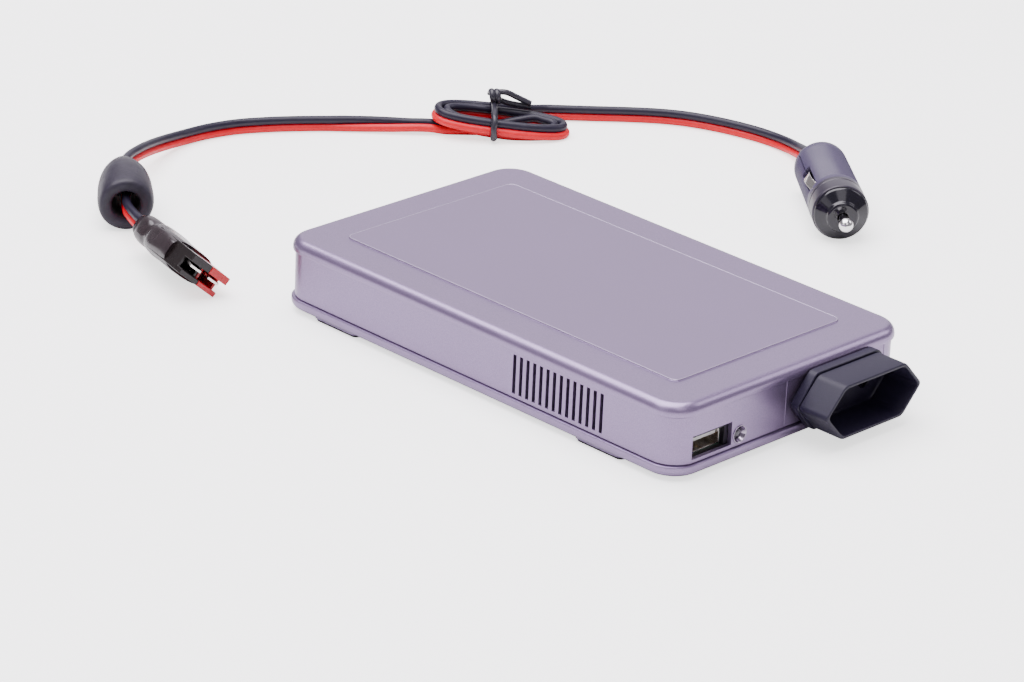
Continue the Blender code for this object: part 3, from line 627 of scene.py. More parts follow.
NICKEL = Finish("nickel", "bright_metal", (0.80, 0.77, 0.73), 0.14, 1.0, Grain.DRAWN, 0.000002, 0.04, 0.10)
LAMP_RING = Finish("lamp_ring", "bright_metal", (0.42, 0.36, 0.46), 0.20, 1.0, Grain.POLISHED, 0.000002)
CHROME = Finish("chrome", "bright_metal", (0.88, 0.87, 0.87), 0.05, 1.0, Grain.POLISHED, 0.000001, 0.02, 0.05)
GILT = Finish("gilt_contact", "bright_metal", (0.78, 0.55, 0.25), 0.2, 1.0, Grain.DRAWN, 0.000002)
ZINC = Finish("zinc_plate", "screw_steel", (0.42, 0.42, 0.43), 0.30, 1.0, Grain.DRAWN, 0.000003)
FOOT_RUBBER = Finish("foot_pad", "foot_rubber", (0.016, 0.015, 0.018), 0.75, depth=0.00003)
TIE_PLASTIC = Finish("tie_plastic", "foot_rubber", (0.020, 0.018, 0.028), 0.32, depth=0.000006)
LENS = Finish("smoked_lens", "lamp_lens", (0.035, 0.030, 0.042), 0.06, grain=Grain.POLISHED,
              depth=0.000001, fleck=0.02, coat=0.5, coat_roughness=0.03)
FUSE_GLASS = Finish("clear_glass", "fuse_glass", (0.90, 0.92, 0.92), 0.04, grain=Grain.POLISHED,
                    depth=0.000001, fleck=0.02, clear=0.9)
SHRINK = Finish("shrunk_sleeve", "shrink_sleeve", (0.018, 0.014, 0.026), 0.45, grain=Grain.SHRUNK,
                depth=0.00008, fleck=0.14, specular=0.38)
BOOT_SHRINK = Finish("shrunk_boot", "shrink_sleeve", (0.022, 0.014, 0.017), 0.24, grain=Grain.SHRUNK,
                     depth=0.00006, fleck=0.20, coat=0.2, coat_roughness=0.15)
PLUG_GREY = Finish("plug_grey", "plug_body", (0.060, 0.047, 0.096), 0.38, depth=0.00001)
COLLAR_GREY = Finish("collar_grey", "plug_body", (0.026, 0.020, 0.034), 0.30, depth=0.00001)
CORD_JACKET = Finish("twin_jacket", "cord_jacket", (0.014, 0.011, 0.024), 0.32, grain=Grain.POLISHED,
                     depth=0.00002, fleck=0.06, specular=0.30, second=(0.66, 0.003, 0.014))
BOARD_GREEN = Finish("board_lacquer", "board_green", (0.010, 0.130, 0.050), 0.35, depth=0.00002, fleck=0.2)
COPPER = Finish("enamelled_copper", "winding_copper", (0.60, 0.25, 0.10), 0.28, 1.0, Grain.DRAWN, 0.00004)
FERRITE = Finish("ferrite", "ferrite_grey", (0.055, 0.053, 0.058), 0.55, depth=0.00003)
MILL_ALUMINIUM = Finish("mill_aluminium", "heatsink_metal", (0.62, 0.63, 0.65), 0.32, 1.0, Grain.DRAWN)
COMPONENT = Finish("component", "component_black", (0.030, 0.030, 0.036), 0.45)
FLOOR_PAINT = Finish("floor_paint", "case", (0.945, 0.955, 0.925), 0.6, depth=0.0, fleck=0.004)


@dataclass
class Workshop:
    """Puts pieces on their bodies and dresses them."""

    nodes: dict[str, Piece]
    body_of: dict[str, str] = field(default_factory=dict)

    def __post_init__(self) -> None:
        """Note which body each CAD node rides on."""
        self.body_of = {name: node["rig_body"] for name, node in self.nodes.items()}

    def dress(self, piece: Piece, finish: Finish) -> Piece:
        """Give a piece one finish in place of whatever it has."""
        piece.data.materials.clear()
        piece.data.materials.append(finish.material())
        return piece

    def fit(self, piece: Piece, finish: Finish, *stands_for: str, body: str | None = None) -> Piece:
        """Dress a new piece and put it on a body.

        Args:
            piece: Finished piece.
            finish: What it is made of.
            stands_for: CAD nodes that it replaces.
            body: Body that it rides on, or None for the body of the first node.

        Returns:
            The same piece.
        """
        self.dress(piece, finish)
        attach(piece, body or self.body_of[stands_for[0]])
        if stands_for:
            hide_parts(*stands_for)
        LOG.info("%s: %d faces, %s", piece.name, len(piece.data.polygons), finish.name)
        return piece

    def keep(self, node: str, finish: Finish) -> None:
        """Keep a CAD node's shape and give it a finish."""
        self.dress(self.nodes[node], finish)
        LOG.info("%s: kept, %s", node, finish.name)

    def soften(self, node: str, finish: Finish, width: float = 0.00015, segments: int = 2) -> Piece:
        """Replace a CAD node with a copy whose edges are rounded.

        Args:
            node: CAD node to copy.
            finish: What it is made of.
            width: Width of the rounding.
            segments: Parts of the rounding.

        Returns:
            The new piece.
        """
        shape = bmesh.new()
        shape.from_mesh(self.nodes[node].data)
        bmesh.ops.remove_doubles(shape, verts=shape.verts, dist=WELD)
        bmesh.ops.dissolve_limit(shape, angle_limit=radians(0.5), verts=shape.verts, edges=shape.edges)
        points = np.array([vert.co for vert in shape.verts])
        faces = [[vert.index for vert in face.verts] for face in shape.faces]
        shape.free()
        mesh = bpy.data.meshes.new(f"{node}_finished")
        mesh.from_pydata(points.tolist(), [], faces)
        piece = stood(f"{node}_finished", mesh)
        bevel = piece.modifiers.new("rounding", "BEVEL")
        bevel.width = width
        bevel.segments = segments
        bevel.limit_method = "ANGLE"
        bevel.angle_limit = radians(38)
        mesh.shade_smooth()
        weighted = piece.modifiers.new("even_shading", "WEIGHTED_NORMAL")
        weighted.weight = 100
        return self.fit(settled(piece, 60.0), finish, node)


# ------------------------------------------------------------------------------ studio
@dataclass
class Studio:
    """Camera, soft light and a pale floor."""

    camera_at: Point = (-0.85974, -0.80644, 0.51847)
    azimuth: float = radians(-45.507)
    elevation: float = radians(23.573)
    roll: float = radians(2.624)
    lens: float = 150.82
    light_aim: Point = (0.03, 0.05, 0.0)
    light_color: Color = (0.97, 0.925, 1.0)
    sky_color: Color = (0.96, 0.92, 1.0)
    sky_strength: float = 0.34
    floor_reach: float = 6.0
    floor_glow: float = 1.6

    def place_camera(self) -> None:
        """Stand the camera at its place, looking down at the case's outlet corner."""
        back = Vector((sin(self.azimuth) * cos(self.elevation), -cos(self.azimuth) * cos(self.elevation),
                       sin(self.elevation)))
        level = (-back).cross(Vector((0, 0, 1))).normalized()
        upward = level.cross(-back)
        right = cos(self.roll) * level + sin(self.roll) * upward
        up = cos(self.roll) * upward - sin(self.roll) * level
        data = bpy.data.cameras.new("camera")
        data.lens = self.lens
        data.sensor_width = 36.0
        data.clip_end = 20.0
        camera = stood("camera", data)
        turn = Matrix((right, up, back)).transposed().to_4x4()
        camera.matrix_world = Matrix.Translation(self.camera_at) @ turn
        bpy.context.scene.camera = camera

    def softbox(self, name: str, at: Point, size: float, power: float) -> None:
        """Hang a square softbox that faces the middle of the object."""
        light = bpy.data.lights.new(name, "AREA")
        light.size = size
        light.energy = power
        light.color = self.light_color
        lamp = stood(name, light)
        lamp.location = at
        lamp.rotation_euler = (Vector(at) - Vector(self.light_aim)).to_track_quat("Z", "Y").to_euler()

    def light(self) -> None:
        """Hang large softboxes overhead and behind, and weaker ones at the sides."""
        self.softbox("softbox_over", (-0.15, 0.35, 1.5), 1.8, 80.0)
        self.softbox("softbox_back", (1.60, 1.40, 1.00), 1.8, 11.0)
        self.softbox("softbox_right", (1.50, -0.75, 1.20), 0.9, 9.0)
        self.softbox("softbox_left", (-1.7, 0.2, 1.0), 1.2, 5.0)
        self.softbox("softbox_front", (-0.55, -1.10, 1.12), 0.8, 3.5)
        world = bpy.data.worlds.new("studio")
        world.use_nodes = True
        sky = world.node_tree.nodes["Background"]
        sky.inputs["Color"].default_value = (*self.sky_color, 1.0)
        sky.inputs["Strength"].default_value = self.sky_strength
        bpy.context.scene.world = world

    def lay_floor(self) -> None:
        """Lay a plain pale floor at the height of the feet."""
        reach = self.floor_reach
        corners = np.array([(-reach, -reach, 0), (reach, -reach, 0), (reach, reach, 0), (-reach, reach, 0)])
        mesh = bpy.data.meshes.new("floor")
        mesh.from_pydata(corners.tolist(), [], [[0, 1, 2, 3]])
        floor = stood("floor", mesh)
        mesh.materials.append(self.lit_from_below(FLOOR_PAINT.material()))

    def lit_from_below(self, paint: bpy.types.Material) -> bpy.types.Material:
        """Let the floor glow for the camera alone, as a backlit table does."""
        tree = paint.node_tree
        glow = tree.nodes.new("ShaderNodeMath")
        glow.operation = "MULTIPLY"
        glow.inputs[1].default_value = self.floor_glow
        shader = tree.nodes["Principled BSDF"]
        shader.inputs["Emission Color"].default_value = (1.0, 1.0, 1.0, 1.0)
        wire(tree, tree.nodes.new("ShaderNodeLightPath").outputs["Is Camera Ray"], glow.inputs[0])
        wire(tree, glow.outputs["Value"], shader.inputs["Emission Strength"])
        return paint

    def build(self) -> None:
        """Build the whole studio."""
        self.place_camera()
        self.light()
        self.lay_floor()


# ------------------------------------------------------------------------------ the lead
ROUTE_TO_HANK = [
    (-0.0530, 0.1508, 0.0084), (-0.0521, 0.1542, 0.0085), (-0.0509, 0.1579, 0.0087),
    (-0.0494, 0.1617, 0.0089), (-0.0471, 0.1658, 0.0090), (-0.0373, 0.1784, 0.0090),
    (-0.0270, 0.1914, 0.0090), (-0.0205, 0.1966, 0.0088), (-0.0122, 0.2010, 0.0079),
    (-0.0038, 0.2052, 0.0064), (0.0060, 0.2094, 0.0045), (0.0160, 0.2120, 0.0031),
    (0.0265, 0.2119, 0.0028), (0.0367, 0.2093, 0.0028), (0.0454, 0.2050, 0.0028),
    (0.0532, 0.2001, 0.0028),
    (0.0626, 0.1932, 0.0028), (0.0728, 0.1847, 0.0028), (0.0828, 0.1757, 0.0028),
    (0.0892, 0.1700, 0.0028),
]
ROUTE_TO_PLUG = [
    (0.1296, 0.1544, 0.0028), (0.1335, 0.1508, 0.0028), (0.1415, 0.1433, 0.0028),
    (0.1499, 0.1356, 0.0028), (0.1578, 0.1274, 0.0028), (0.1636, 0.1190, 0.0028),
    (0.1682, 0.1083, 0.0028), (0.1712, 0.0969, 0.0028), (0.1722, 0.0878, 0.0028),
    (0.1710, 0.0795, 0.0033), (0.1680, 0.0726, 0.0044), (0.1636, 0.0656, 0.0063),
    (0.1590, 0.0583, 0.0084), (0.15447, 0.05165, 0.0095),
]
INSIDE_BOOT = (-0.0541, 0.1468, 0.0084)
INSIDE_PLUG = (0.1513, 0.0477, 0.0095)


@dataclass
class Hank:
    """Two turns of the cord, standing on edge, tied round the middle."""

    origin: Point = (0.1084, 0.1547, 0.0)
    heading: float = radians(-43.3)
    start: float = radians(60)
    turns: float = 1.888
    first_reach: float = 0.0170
    first_width: float = 0.0034
    right_reach: float = 0.0012     # how much further the right-hand bends reach
    pitch: float = 0.00295
    middle_height: float = 0.0049
    slope: float = 0.107            # fall of the whole hank from left to right
    tilt: float = radians(-20)      # lean of the cord towards the inside of its turns
    sag: float = 0.0022             # drop of the inner turn in the middle of its front run

    def to_frame(self, points: Array) -> Array:
        """Return hank points (along, across, up) in the frame's coordinates."""
        c, s = cos(self.heading), sin(self.heading)
        along, across, up = points[..., 0], points[..., 1], points[..., 2]
        plan = np.stack([c * along - s * across, s * along + c * across, up], axis=-1)
        return plan + np.array(self.origin)

    def path(self) -> Array:
        """Return the way in, the turns and the way out.

        On the turns, along = A sgn(cos a)|cos a|^0.7 and across = B sgn(sin a)|sin a|^0.85. A and B
        grow by one cord's thickness a turn, and the angle a runs clockwise from above.
        """
        turn = np.linspace(0, self.turns, 1800)
        angle = self.start - 2 * pi * turn
        reach = self.first_reach + self.pitch * turn + self.right_reach * (np.cos(angle) > 0)
        width = self.first_width + self.pitch * turn
        along = reach * flattened(np.cos(angle), 0.7)
        across = -0.0005 + width * flattened(np.sin(angle), 0.85)
        sag = self.sag * np.exp(-((turn - 0.40) / 0.17) ** 2)
        loops = np.stack([along, across, self.middle_height - self.slope * along - sag], axis=-1)
        way_in = np.array([(-0.0190, -0.0018, 0.0021), (-0.0130, -0.0018, 0.0021), (-0.0070, -0.0014, 0.0021),
                           (-0.0010, -0.0006, 0.0023), (0.0055, 0.0008, 0.0031)])
        way_out = np.array([(0.0000, 0.0096, 0.0047), (0.0055, 0.0110, 0.0041), (0.0105, 0.0127, 0.0032)])
        return self.to_frame(np.vstack([way_in, evenly(loops, 0.0025), way_out]))


@dataclass
class Lead:
    """The two-core cord with its hank, tie, ferrite and pair of power connectors."""

    shop: Workshop
    hank: Hank = field(default_factory=Hank)
    core_radius: float = 0.0014
    neck: float = 0.0004
    ferrite: Placement = Placement((-0.0475, 0.1655, 0.0090), radians(51.7))
    ferrite_length: float = 0.0330
    connector: Placement = Placement((-0.0648, 0.1068, 0.0084), radians(-105.0), radians(-41.1))
    lean: float = radians(66)       # turn of the cord where it slips under the hank
    spacing: float = 0.0013         # distance between the cord's rings
    pieces: list[Piece] = field(default_factory=list)

    def section(self) -> Array:
        """Return the cord's outline: two circles, one above the other, that meet in a narrow neck."""
        open_angle = np.arcsin(self.neck / self.core_radius)
        sweep = np.linspace(-pi / 2 + open_angle, 3 * pi / 2 - open_angle, 18)
        rise = self.core_radius * np.cos(open_angle)
        upper = np.stack([self.core_radius * np.cos(sweep), rise + self.core_radius * np.sin(sweep)], axis=-1)
        return np.vstack([upper, -upper])

    def make_cord(self) -> tuple[Piece, Array]:
        """Make the cord along its whole route.

        Returns:
            The cord and the points of its middle line.
        """
        points = np.vstack([[INSIDE_BOOT], ROUTE_TO_HANK, self.hank.path(), ROUTE_TO_PLUG, [INSIDE_PLUG]])
        path = smooth_path(points, self.spacing)
        entry = length_of(smooth_path([INSIDE_BOOT, *ROUTE_TO_HANK], self.spacing))
        leave = entry + length_of(self.hank.path())
        turn = np.interp(reach_of(path), [entry - 0.034, entry - 0.006, entry + 0.020, entry + 0.040,
                                          leave - 0.020, leave + 0.010],
                         [0.0, self.lean, self.lean, self.hank.tilt, self.hank.tilt, 0.0])
        cord = swept("cord", path, self.section(), (0, 0, 1), turn=turn)
        self.shop.fit(cord, CORD_JACKET, "cord_run_ferrite_side", "cord_hank", "cord_run_plug_side")
        return cord, path

    def make_tie(self) -> None:
        """Tie the hank with a wire tie: a twisted loop, a knot on top and two tails."""
        at = self.hank.to_frame(np.array([-0.0025, 0.0, 0.0]))
        along = self.hank.to_frame(np.array([1.0, 0, 0])) - np.array(self.hank.origin)
        shifted = Hank(origin=tuple(at))
        loop = [(0, -0.0106, 0.0016), (-0.0002, -0.0108, 0.0048), (0, -0.0100, 0.0082), (0, -0.0060, 0.0094),
                (0, 0.0040, 0.0096), (0, 0.0096, 0.0088), (0, 0.0112, 0.0058), (0, 0.0112, 0.0016)]
        ring = shifted.to_frame(softened(loop, 0.0022, closed=True, steps=8))
        ridged = round_section(0.00120, 14) * np.array([1.0, 0.88])
        turn = np.linspace(0, 6 * pi, len(ring), endpoint=False)
        pieces = [swept("tie_loop", ring, ridged, tuple(along), closed=True, turn=turn)]
        step = np.linspace(0, 1, 90)
        knot = np.stack([-0.0014 + 0.0030 * step, 0.0030 + 0.0015 * np.cos(11 * step),
                         0.0122 + 0.0016 * np.sin(11 * step)], axis=-1)
        pieces.append(swept("tie_knot", shifted.to_frame(knot), round_section(0.00115, 14),
                            tuple(along + 0.1)))
        tails = {"upper": [(0.0006, 0.0034, 0.0136), (0.0040, 0.0036, 0.0135), (0.0080, 0.0040, 0.0116),
                           (0.0124, 0.0044, 0.0094)],
                 "lower": [(0.0004, 0.0040, 0.0112), (0.0042, 0.0044, 0.0096), (0.0082, 0.0048, 0.0087),
                           (0.0126, 0.0050, 0.0080)]}
        for label, tail in tails.items():
            path = smooth_path(shifted.to_frame(np.array(tail)), 0.0006)
            pieces.append(swept(f"tie_tail_{label}", path, round_section(0.00100, 14), (0, 0, 1)))
        self.pieces.append(self.shop.fit(joined("twist_tie", pieces), TIE_PLASTIC, "hank_tie"))

    def make_ferrite(self) -> None:
        """Make the shrunk sleeve over the ferrite: full near its mouth, drawn in towards its rear."""
        end = self.ferrite_length
        profile = [(0.0035, end - 0.0012), (0.0038, end), (0.0044, end - 0.0004), (0.0051, 0.0304),
                   (0.0064, 0.0268), (0.0079, 0.0215), (0.0088, 0.0150), (0.0091, 0.0060),
                   (0.0087, 0.0012), (0.0076, 0.0000), (0.0054, 0.0001), (0.0046, 0.0008),
                   (0.0046, 0.0016), (0.0078, 0.0018), (0.0078, 0.0150), (0.0074, 0.0210), (0.0057, 0.0266)]
        sleeve = turned("ferrite_sleeve_shrunk", softened(profile, 0.0022, closed=True, steps=6),
                        self.ferrite, steps=96, closed=True, wobble=0.016)
        self.pieces.append(self.shop.fit(sleeve, SHRINK, "ferrite_sleeve"))
        core = [(0.0073, 0.0205), (0.0073, 0.0022), (0.0050, 0.0022), (0.0050, 0.0205)]
        body = turned("ferrite_core_ground", softened(core, 0.0005, closed=True), self.ferrite, closed=True)
        self.pieces.append(self.shop.fit(body, FERRITE, "ferrite_core"))

    def make_boot(self) -> None:
        """Shrink the boot over the joints: a superellipse section that swells twice on its way back."""
        sections = np.array([(0.0126, 0.0044, 0.0084), (0.0132, 0.0049, 0.0089), (0.0219, 0.0050, 0.0090),
                             (0.0279, 0.0052, 0.0080), (0.0319, 0.0041, 0.0059), (0.0349, 0.0047, 0.0062),
                             (0.0384, 0.0047, 0.0060), (0.0414, 0.0040, 0.0048), (0.0442, 0.0033, 0.0038)])
        back, high, wide = (column[:, None] for column in smooth_path(sections, 0.0007).T)
        angle = np.linspace(0, 2 * pi, 64, endpoint=False)
        c, s = np.cos(angle), np.sin(angle)
        crease = 1 + 0.014 * np.sin(3 * angle + 300 * back) + 0.006 * np.sin(7 * angle - 520 * back)
        grid = np.stack([high * crease * flattened(c, 0.62), wide * crease * flattened(s, 0.62),
                         -back + 0 * angle], axis=-1)
        boot = grid_piece("boot_shrunk", self.connector.to_frame(grid))
        self.pieces.append(self.shop.fit(boot, BOOT_SHRINK, "connector_boot"))

    def make_connectors(self) -> None:
        """Finish the two housings and their blades."""
        for color, finish in (("black", CONNECTOR_BLACK), ("red", CONNECTOR_RED)):
            self.pieces.append(self.shop.soften(f"connector_housing_{color}", finish, 0.00025, 3))
            self.pieces.append(self.shop.soften(f"connector_contact_{color}", NICKEL, 0.0001))

    def build(self, plug: list[Piece]) -> None:
        """Build the lead.

        Args:
            plug: Pieces of the plug at the cord's far end; not used.
        """
        cord, path = self.make_cord()
        self.make_tie()
        self.make_ferrite()
        self.make_boot()
        self.make_connectors()


@dataclass
class VehiclePlug:
    """The plug: two ribbed halves, side contacts, collar, glossy nose and sprung pin."""

    shop: Workshop
    place: Placement = Placement((0.15318, 0.05006, 0.0095), radians(-129.05), radians(-30.0))
    body_rear: float = -0.0017
    body_end: float = 0.0327
    rib_pitch: float = 0.0009
    rib_depth: float = 0.00020
    gap: float = 0.00020
    leaf_from: float = 0.0175
    leaf_to: float = 0.0302
    bore: float = 0.0036
    ball_radius: float = 0.00235
    ball_middle: float = 0.0520
    pieces: list[Piece] = field(default_factory=list)

    def body_profile(self) -> Array:
        """Return the body's profile: a slow taper with fine ribs, r = taper - depth sin^2(pi z / pitch)."""
        height = np.linspace(0.0020, 0.0319, 300)
        taper = np.interp(height, [0.0020, 0.0300, 0.0319], [0.0089, 0.0092, 0.00918])
        ribbed = (height > 0.0035) & (height < 0.0309)
        radius = taper - self.rib_depth * ribbed * np.sin(pi * height / self.rib_pitch) ** 2
        quarter = np.linspace(0, pi / 2, 14)
        rear = np.stack([0.0058 + 0.0031 * np.sin(quarter), 0.0020 - 0.0037 * np.cos(quarter)], axis=-1)
        side = np.stack([radius, height], axis=-1)
        return np.vstack([[(0.0, self.body_rear)], rear, side,
                          [(0.00905, self.body_end), (0.0, self.body_end)]])

    def make_halves(self) -> None:
        """Cut the ribbed body into halves, bored for the fuse and slotted for the contacts."""
        for side, name in ((1, "upper"), (-1, "lower")):
            half = turned(f"plug_{name}_ribbed", self.body_profile(), self.place, steps=96)
            low, high = sorted((-side * 0.0200, side * self.gap))
            cutters = [block("split", (low, -0.02, -0.01), (high, 0.02, 0.05), self.place),
                       turned("bore", [(0.0, 0.0115), (self.bore, 0.0115), (self.bore, 0.04), (0.0, 0.04)],
                              self.place, steps=40)]
            for wing in (-1, 1):
                low_y, high_y = sorted((wing * 0.0046, wing * 0.0150))
                cutters.append(block(f"slot_{wing}", (-0.0020, low_y, self.leaf_from - 0.0012),
                                     (0.0020, high_y, self.leaf_to + 0.0008), self.place))
            self.pieces.append(self.shop.fit(carved(half, cutters), PLUG_GREY, f"plug_body_{name}"))

    def make_nose(self) -> None:
        """Turn the collar, with a fine groove, and the glossy nose with its raised ring."""
        collar = [(self.bore, 0.0416), (0.0090, 0.0416), (0.0093, 0.0412), (0.0093, 0.0355),
                  (0.00905, 0.0352), (0.0093, 0.0349), (0.0093, 0.0333), (0.0091, 0.0331),
                  (self.bore, 0.0331)]
        ring = turned("collar_turned", softened(collar, 0.0002, closed=True), self.place, 96, closed=True)
        self.pieces.append(self.shop.fit(ring, COLLAR_GREY, "plug_collar"))
        nose = [(0.00175, 0.0462), (0.0044, 0.0462), (0.0050, 0.0459), (0.0053, 0.0449), (0.0086, 0.0428),
                (0.0089, 0.0422), (0.0088, 0.0418), (self.bore, 0.0418), (self.bore, 0.0445),
                (0.00175, 0.0445)]
        cap = turned("nose_polished", softened(nose, 0.0003, closed=True), self.place, 96, closed=True)
        self.pieces.append(self.shop.fit(cap, GLOSS_BLACK, "plug_nose"))

    def make_pin(self) -> None:
        """Turn the pin: a ball, z = c + r cos a, on a stem with a shoulder that stays inside the nose."""
        angle = np.linspace(0, radians(142), 24)
        ball = np.stack([self.ball_radius * np.sin(angle),
                         self.ball_middle + self.ball_radius * np.cos(angle)], axis=-1)
        stem = softened([(0.0015, 0.0495), (0.0015, 0.0442), (0.0030, 0.0442), (0.0030, 0.0410),
                         (0.0, 0.0410)], 0.0002)
        pin = turned("pin_turned", np.vstack([ball, stem]), self.place, steps=64)
        self.pieces.append(self.shop.fit(pin, CHROME, "plug_pin"))

    def make_fuse_and_spring(self) -> None:
        """Turn the glass fuse with its end caps and wind the spring behind it."""
        fuse = [(0.0, 0.0407), (0.0026, 0.0407), (0.0026, 0.0352), (0.0023, 0.0350), (0.0023, 0.0269),
                (0.0026, 0.0267), (0.0026, 0.0212), (0.0, 0.0212)]
        glass = turned("fuse_turned", softened(fuse, 0.0002), self.place, steps=48)
        self.pieces.append(self.shop.fit(glass, FUSE_GLASS, "plug_fuse"))
        turn = np.linspace(0, 4, 160)
        helix = np.stack([0.0024 * np.cos(2 * pi * turn), 0.0024 * np.sin(2 * pi * turn),
                          0.0124 + 0.0012 * turn], axis=-1)
        axis = self.place.axes()[:, 2]
        spring = swept("spring_wound", self.place.to_frame(helix), round_section(0.000275, 10), tuple(axis))
        self.pieces.append(self.shop.fit(spring, ZINC, "plug_spring"))

    def make_side_contacts(self) -> None:
        """Bow the two sprung leaves out of their slots, by half a wave of a sine."""
        height = np.linspace(self.leaf_from, self.leaf_to, 40)
        bow = 0.0077 + 0.0018 * np.sin(pi * (height - self.leaf_from) / (self.leaf_to - self.leaf_from))
        strip = softened([(0.0015, 0.0003), (-0.0015, 0.0003), (-0.0015, -0.0003), (0.0015, -0.0003)],
                         0.00015, closed=True)
        for wing, side in ((1, "left"), (-1, "right")):
            path = self.place.to_frame(np.stack([0 * height, wing * bow, height], axis=-1))
            leaf = swept(f"leaf_{side}", path, strip, tuple(self.place.axes()[:, 1]), sharp=50.0)
            self.pieces.append(self.shop.fit(leaf, NICKEL, f"side_contact_{side}"))

    def build(self) -> list[Piece]:
        """Build the plug and return its pieces."""
        self.make_halves()
        self.make_nose()
        self.make_pin()
        self.make_fuse_and_spring()
        self.make_side_contacts()
        return self.pieces


# ------------------------------------------------------------------------------ the case
@dataclass
class CaseShells:
    """Cover, wall band and tray, with their feet and screws."""

    shop: Workshop
    cover_bottom: float = 0.0198
    cover_top: float = 0.0238           # top of the cover's flat border
    cover_plate: float = 0.0012
    cover_rounding: float = 0.0030
    tray_bottom: float = 0.0012
    tray_top: float = 0.0047
    tray_plate: float = 0.0010
    tray_rounding: float = 0.0022
    skirt: float = 0.0020
    corner: float = 0.0095
    field_margin: float = 0.0141
    field_rise: float = 0.0004
    step_width: float = 0.00036
    middle_strip: float = 0.0030        # half width of what the innermost ring leaves open

    def corners(self, inset: Array) -> Array:
        """Return the corner radius at an inset: parallel to the rim first, then the field's own."""
        reach = self.field_margin
        return np.interp(inset, [0.0, 0.003, reach, reach + 0.03],
                         [self.corner, self.corner - 0.003, 0.0025, 0.0010])

    def make_cover(self) -> None:
        """Press the cover: a quarter-round rim, a flat border and a raised field with a soft step."""
        middle, half = plan_of("top_cover")
        bottom, top, raised = self.cover_bottom, self.cover_top, self.cover_top + self.field_rise
        quarter = np.linspace(0, pi / 2, 18)
        rim = np.stack([self.cover_rounding * (1 - np.cos(quarter)),
                        top - self.cover_rounding * (1 - np.sin(quarter))], axis=-1)
        rise = np.linspace(0, 1, 9)
        step = np.stack([self.field_margin + self.step_width * (rise - 0.5),
                         top + self.field_rise * rise ** 2 * (3 - 2 * rise)], axis=-1)
        deep = half[0] - self.middle_strip
        near, far = self.field_margin - 0.0004, self.field_margin + 0.0004
        outer = np.vstack([[(0.0006, bottom), (0.0001, bottom + 0.0001), (0.0, bottom + 0.0004)], rim,
                           [(0.0033, top), (0.0040, top), (0.010, top), (near, top)], step,
                           [(far, raised), (far + 0.0006, raised), (0.020, raised), (0.035, raised),
                            (deep, raised)]])
        ceiling = top - self.cover_plate
        inner = np.array([(deep, ceiling), (0.020, ceiling), (self.skirt + 0.0008, ceiling),
                          (self.skirt + 0.0002, ceiling - 0.0002), (self.skirt, ceiling - 0.0008),
                          (self.skirt, bottom + 0.0003), (self.skirt - 0.0003, bottom)])
        profile = np.vstack([outer[::-1], inner[::-1]])
        grid = ring_stack(middle, half, self.corners(profile[:, 0]), profile[:, 0], profile[:, 1], steps=14)
        cover = grid_piece("cover_pressed", grid, sharp=50.0)
        self.shop.fit(cover, CASE_METAL, "top_cover")

    def make_crease_highlight(self) -> None:
        """Lay the fine bead along the field's edge, an ellipse carried round the step's top, in a lighter
        copy of the case metal that paints the highlight along the step.
        """
        middle, half = plan_of("top_cover")
        around = np.linspace(0, 2 * pi, 10, endpoint=False)
        inset = self.field_margin + 0.0001 + 0.00013 * np.cos(around)
        height = self.cover_top + self.field_rise - 0.00002 + 0.00008 * np.sin(around)
        crease = ring_stack(middle, half, self.corners(inset), inset, height, steps=14)
        self.shop.fit(grid_piece("cover_crease_highlight", crease, closed_rings=True), CREASE_HIGHLIGHT_METAL, body="case")

    def make_posts(self) -> None:
        """Stand the cover's four screw posts, each bored from below."""
        profile = [(0.0, 0.0228), (0.0031, 0.0228), (0.0031, 0.0037), (0.00137, 0.0037),
                   (0.00137, 0.0120), (0.0, 0.0120)]
        posts = []
        for number in CORNERS:
            (x, y), _ = plan_of(f"case_screw_{number}")
            posts.append(turned(f"post_{number}", profile, Upright((x, y, 0.0)), steps=32))
        self.shop.fit(joined("cover_posts", posts), CASE_METAL, body="case")

    def make_tray(self) -> None:
        """Press the tray: a rounded rim, a low pad over each foot and a countersink for each screw."""
        middle, half = plan_of("bottom_tray")
        bottom, top, floor = self.tray_bottom, self.tray_top, self.tray_bottom + self.tray_plate
        quarter = np.linspace(0, pi / 2, 16)
        rim = np.stack([self.tray_rounding * (1 - np.sin(quarter)),
                        bottom + self.tray_rounding * (1 - np.cos(quarter))], axis=-1)
        deep = half[0] - self.middle_strip
        outer = np.vstack([[(deep, bottom), (0.020, bottom)], rim,
                           [(0.0, top - 0.0003), (0.0001, top - 0.0001), (0.0003, top)]])
        inner = np.array([(self.skirt - 0.0003, top), (self.skirt, top - 0.0003),
                          (self.skirt, floor + 0.0008), (self.skirt + 0.0008, floor),
                          (0.020, floor), (deep, floor)])
        profile = np.vstack([outer, inner])
        corners = np.interp(profile[:, 0], [0.0, 0.003, 0.02], [self.corner, self.corner - 0.003, 0.0005])
        tray = grid_piece("tray_pressed", ring_stack(middle, half, corners, profile[:, 0], profile[:, 1], 14))
        pads, cutters = [], []
        for number in CORNERS:
            grid = ring_stack(*plan_of(f"foot_{number}", 0.0006), 0.0022,
                              np.array([0.0, 0.0001, 0.0004, 0.0009]),
                              np.array([0.0016, 0.0010, 0.0007, 0.00056]), 8)
            pads.append(grid_piece(f"pad_{number}", grid))
        sink = [(0.0, 0.0), (0.0032, 0.0), (0.0028, 0.0014), (0.0015, 0.0018), (0.0015, 0.0050),
                (0.0, 0.0050)]
        for number in CORNERS:
            (x, y), _ = plan_of(f"case_screw_{number}")
            cutters.append(turned(f"sink_{number}", sink, Upright((x, y, 0.0)), steps=40))
        carved(tray, pads, "UNION")
        self.shop.fit(carved(tray, cutters), CASE_METAL, "bottom_tray")

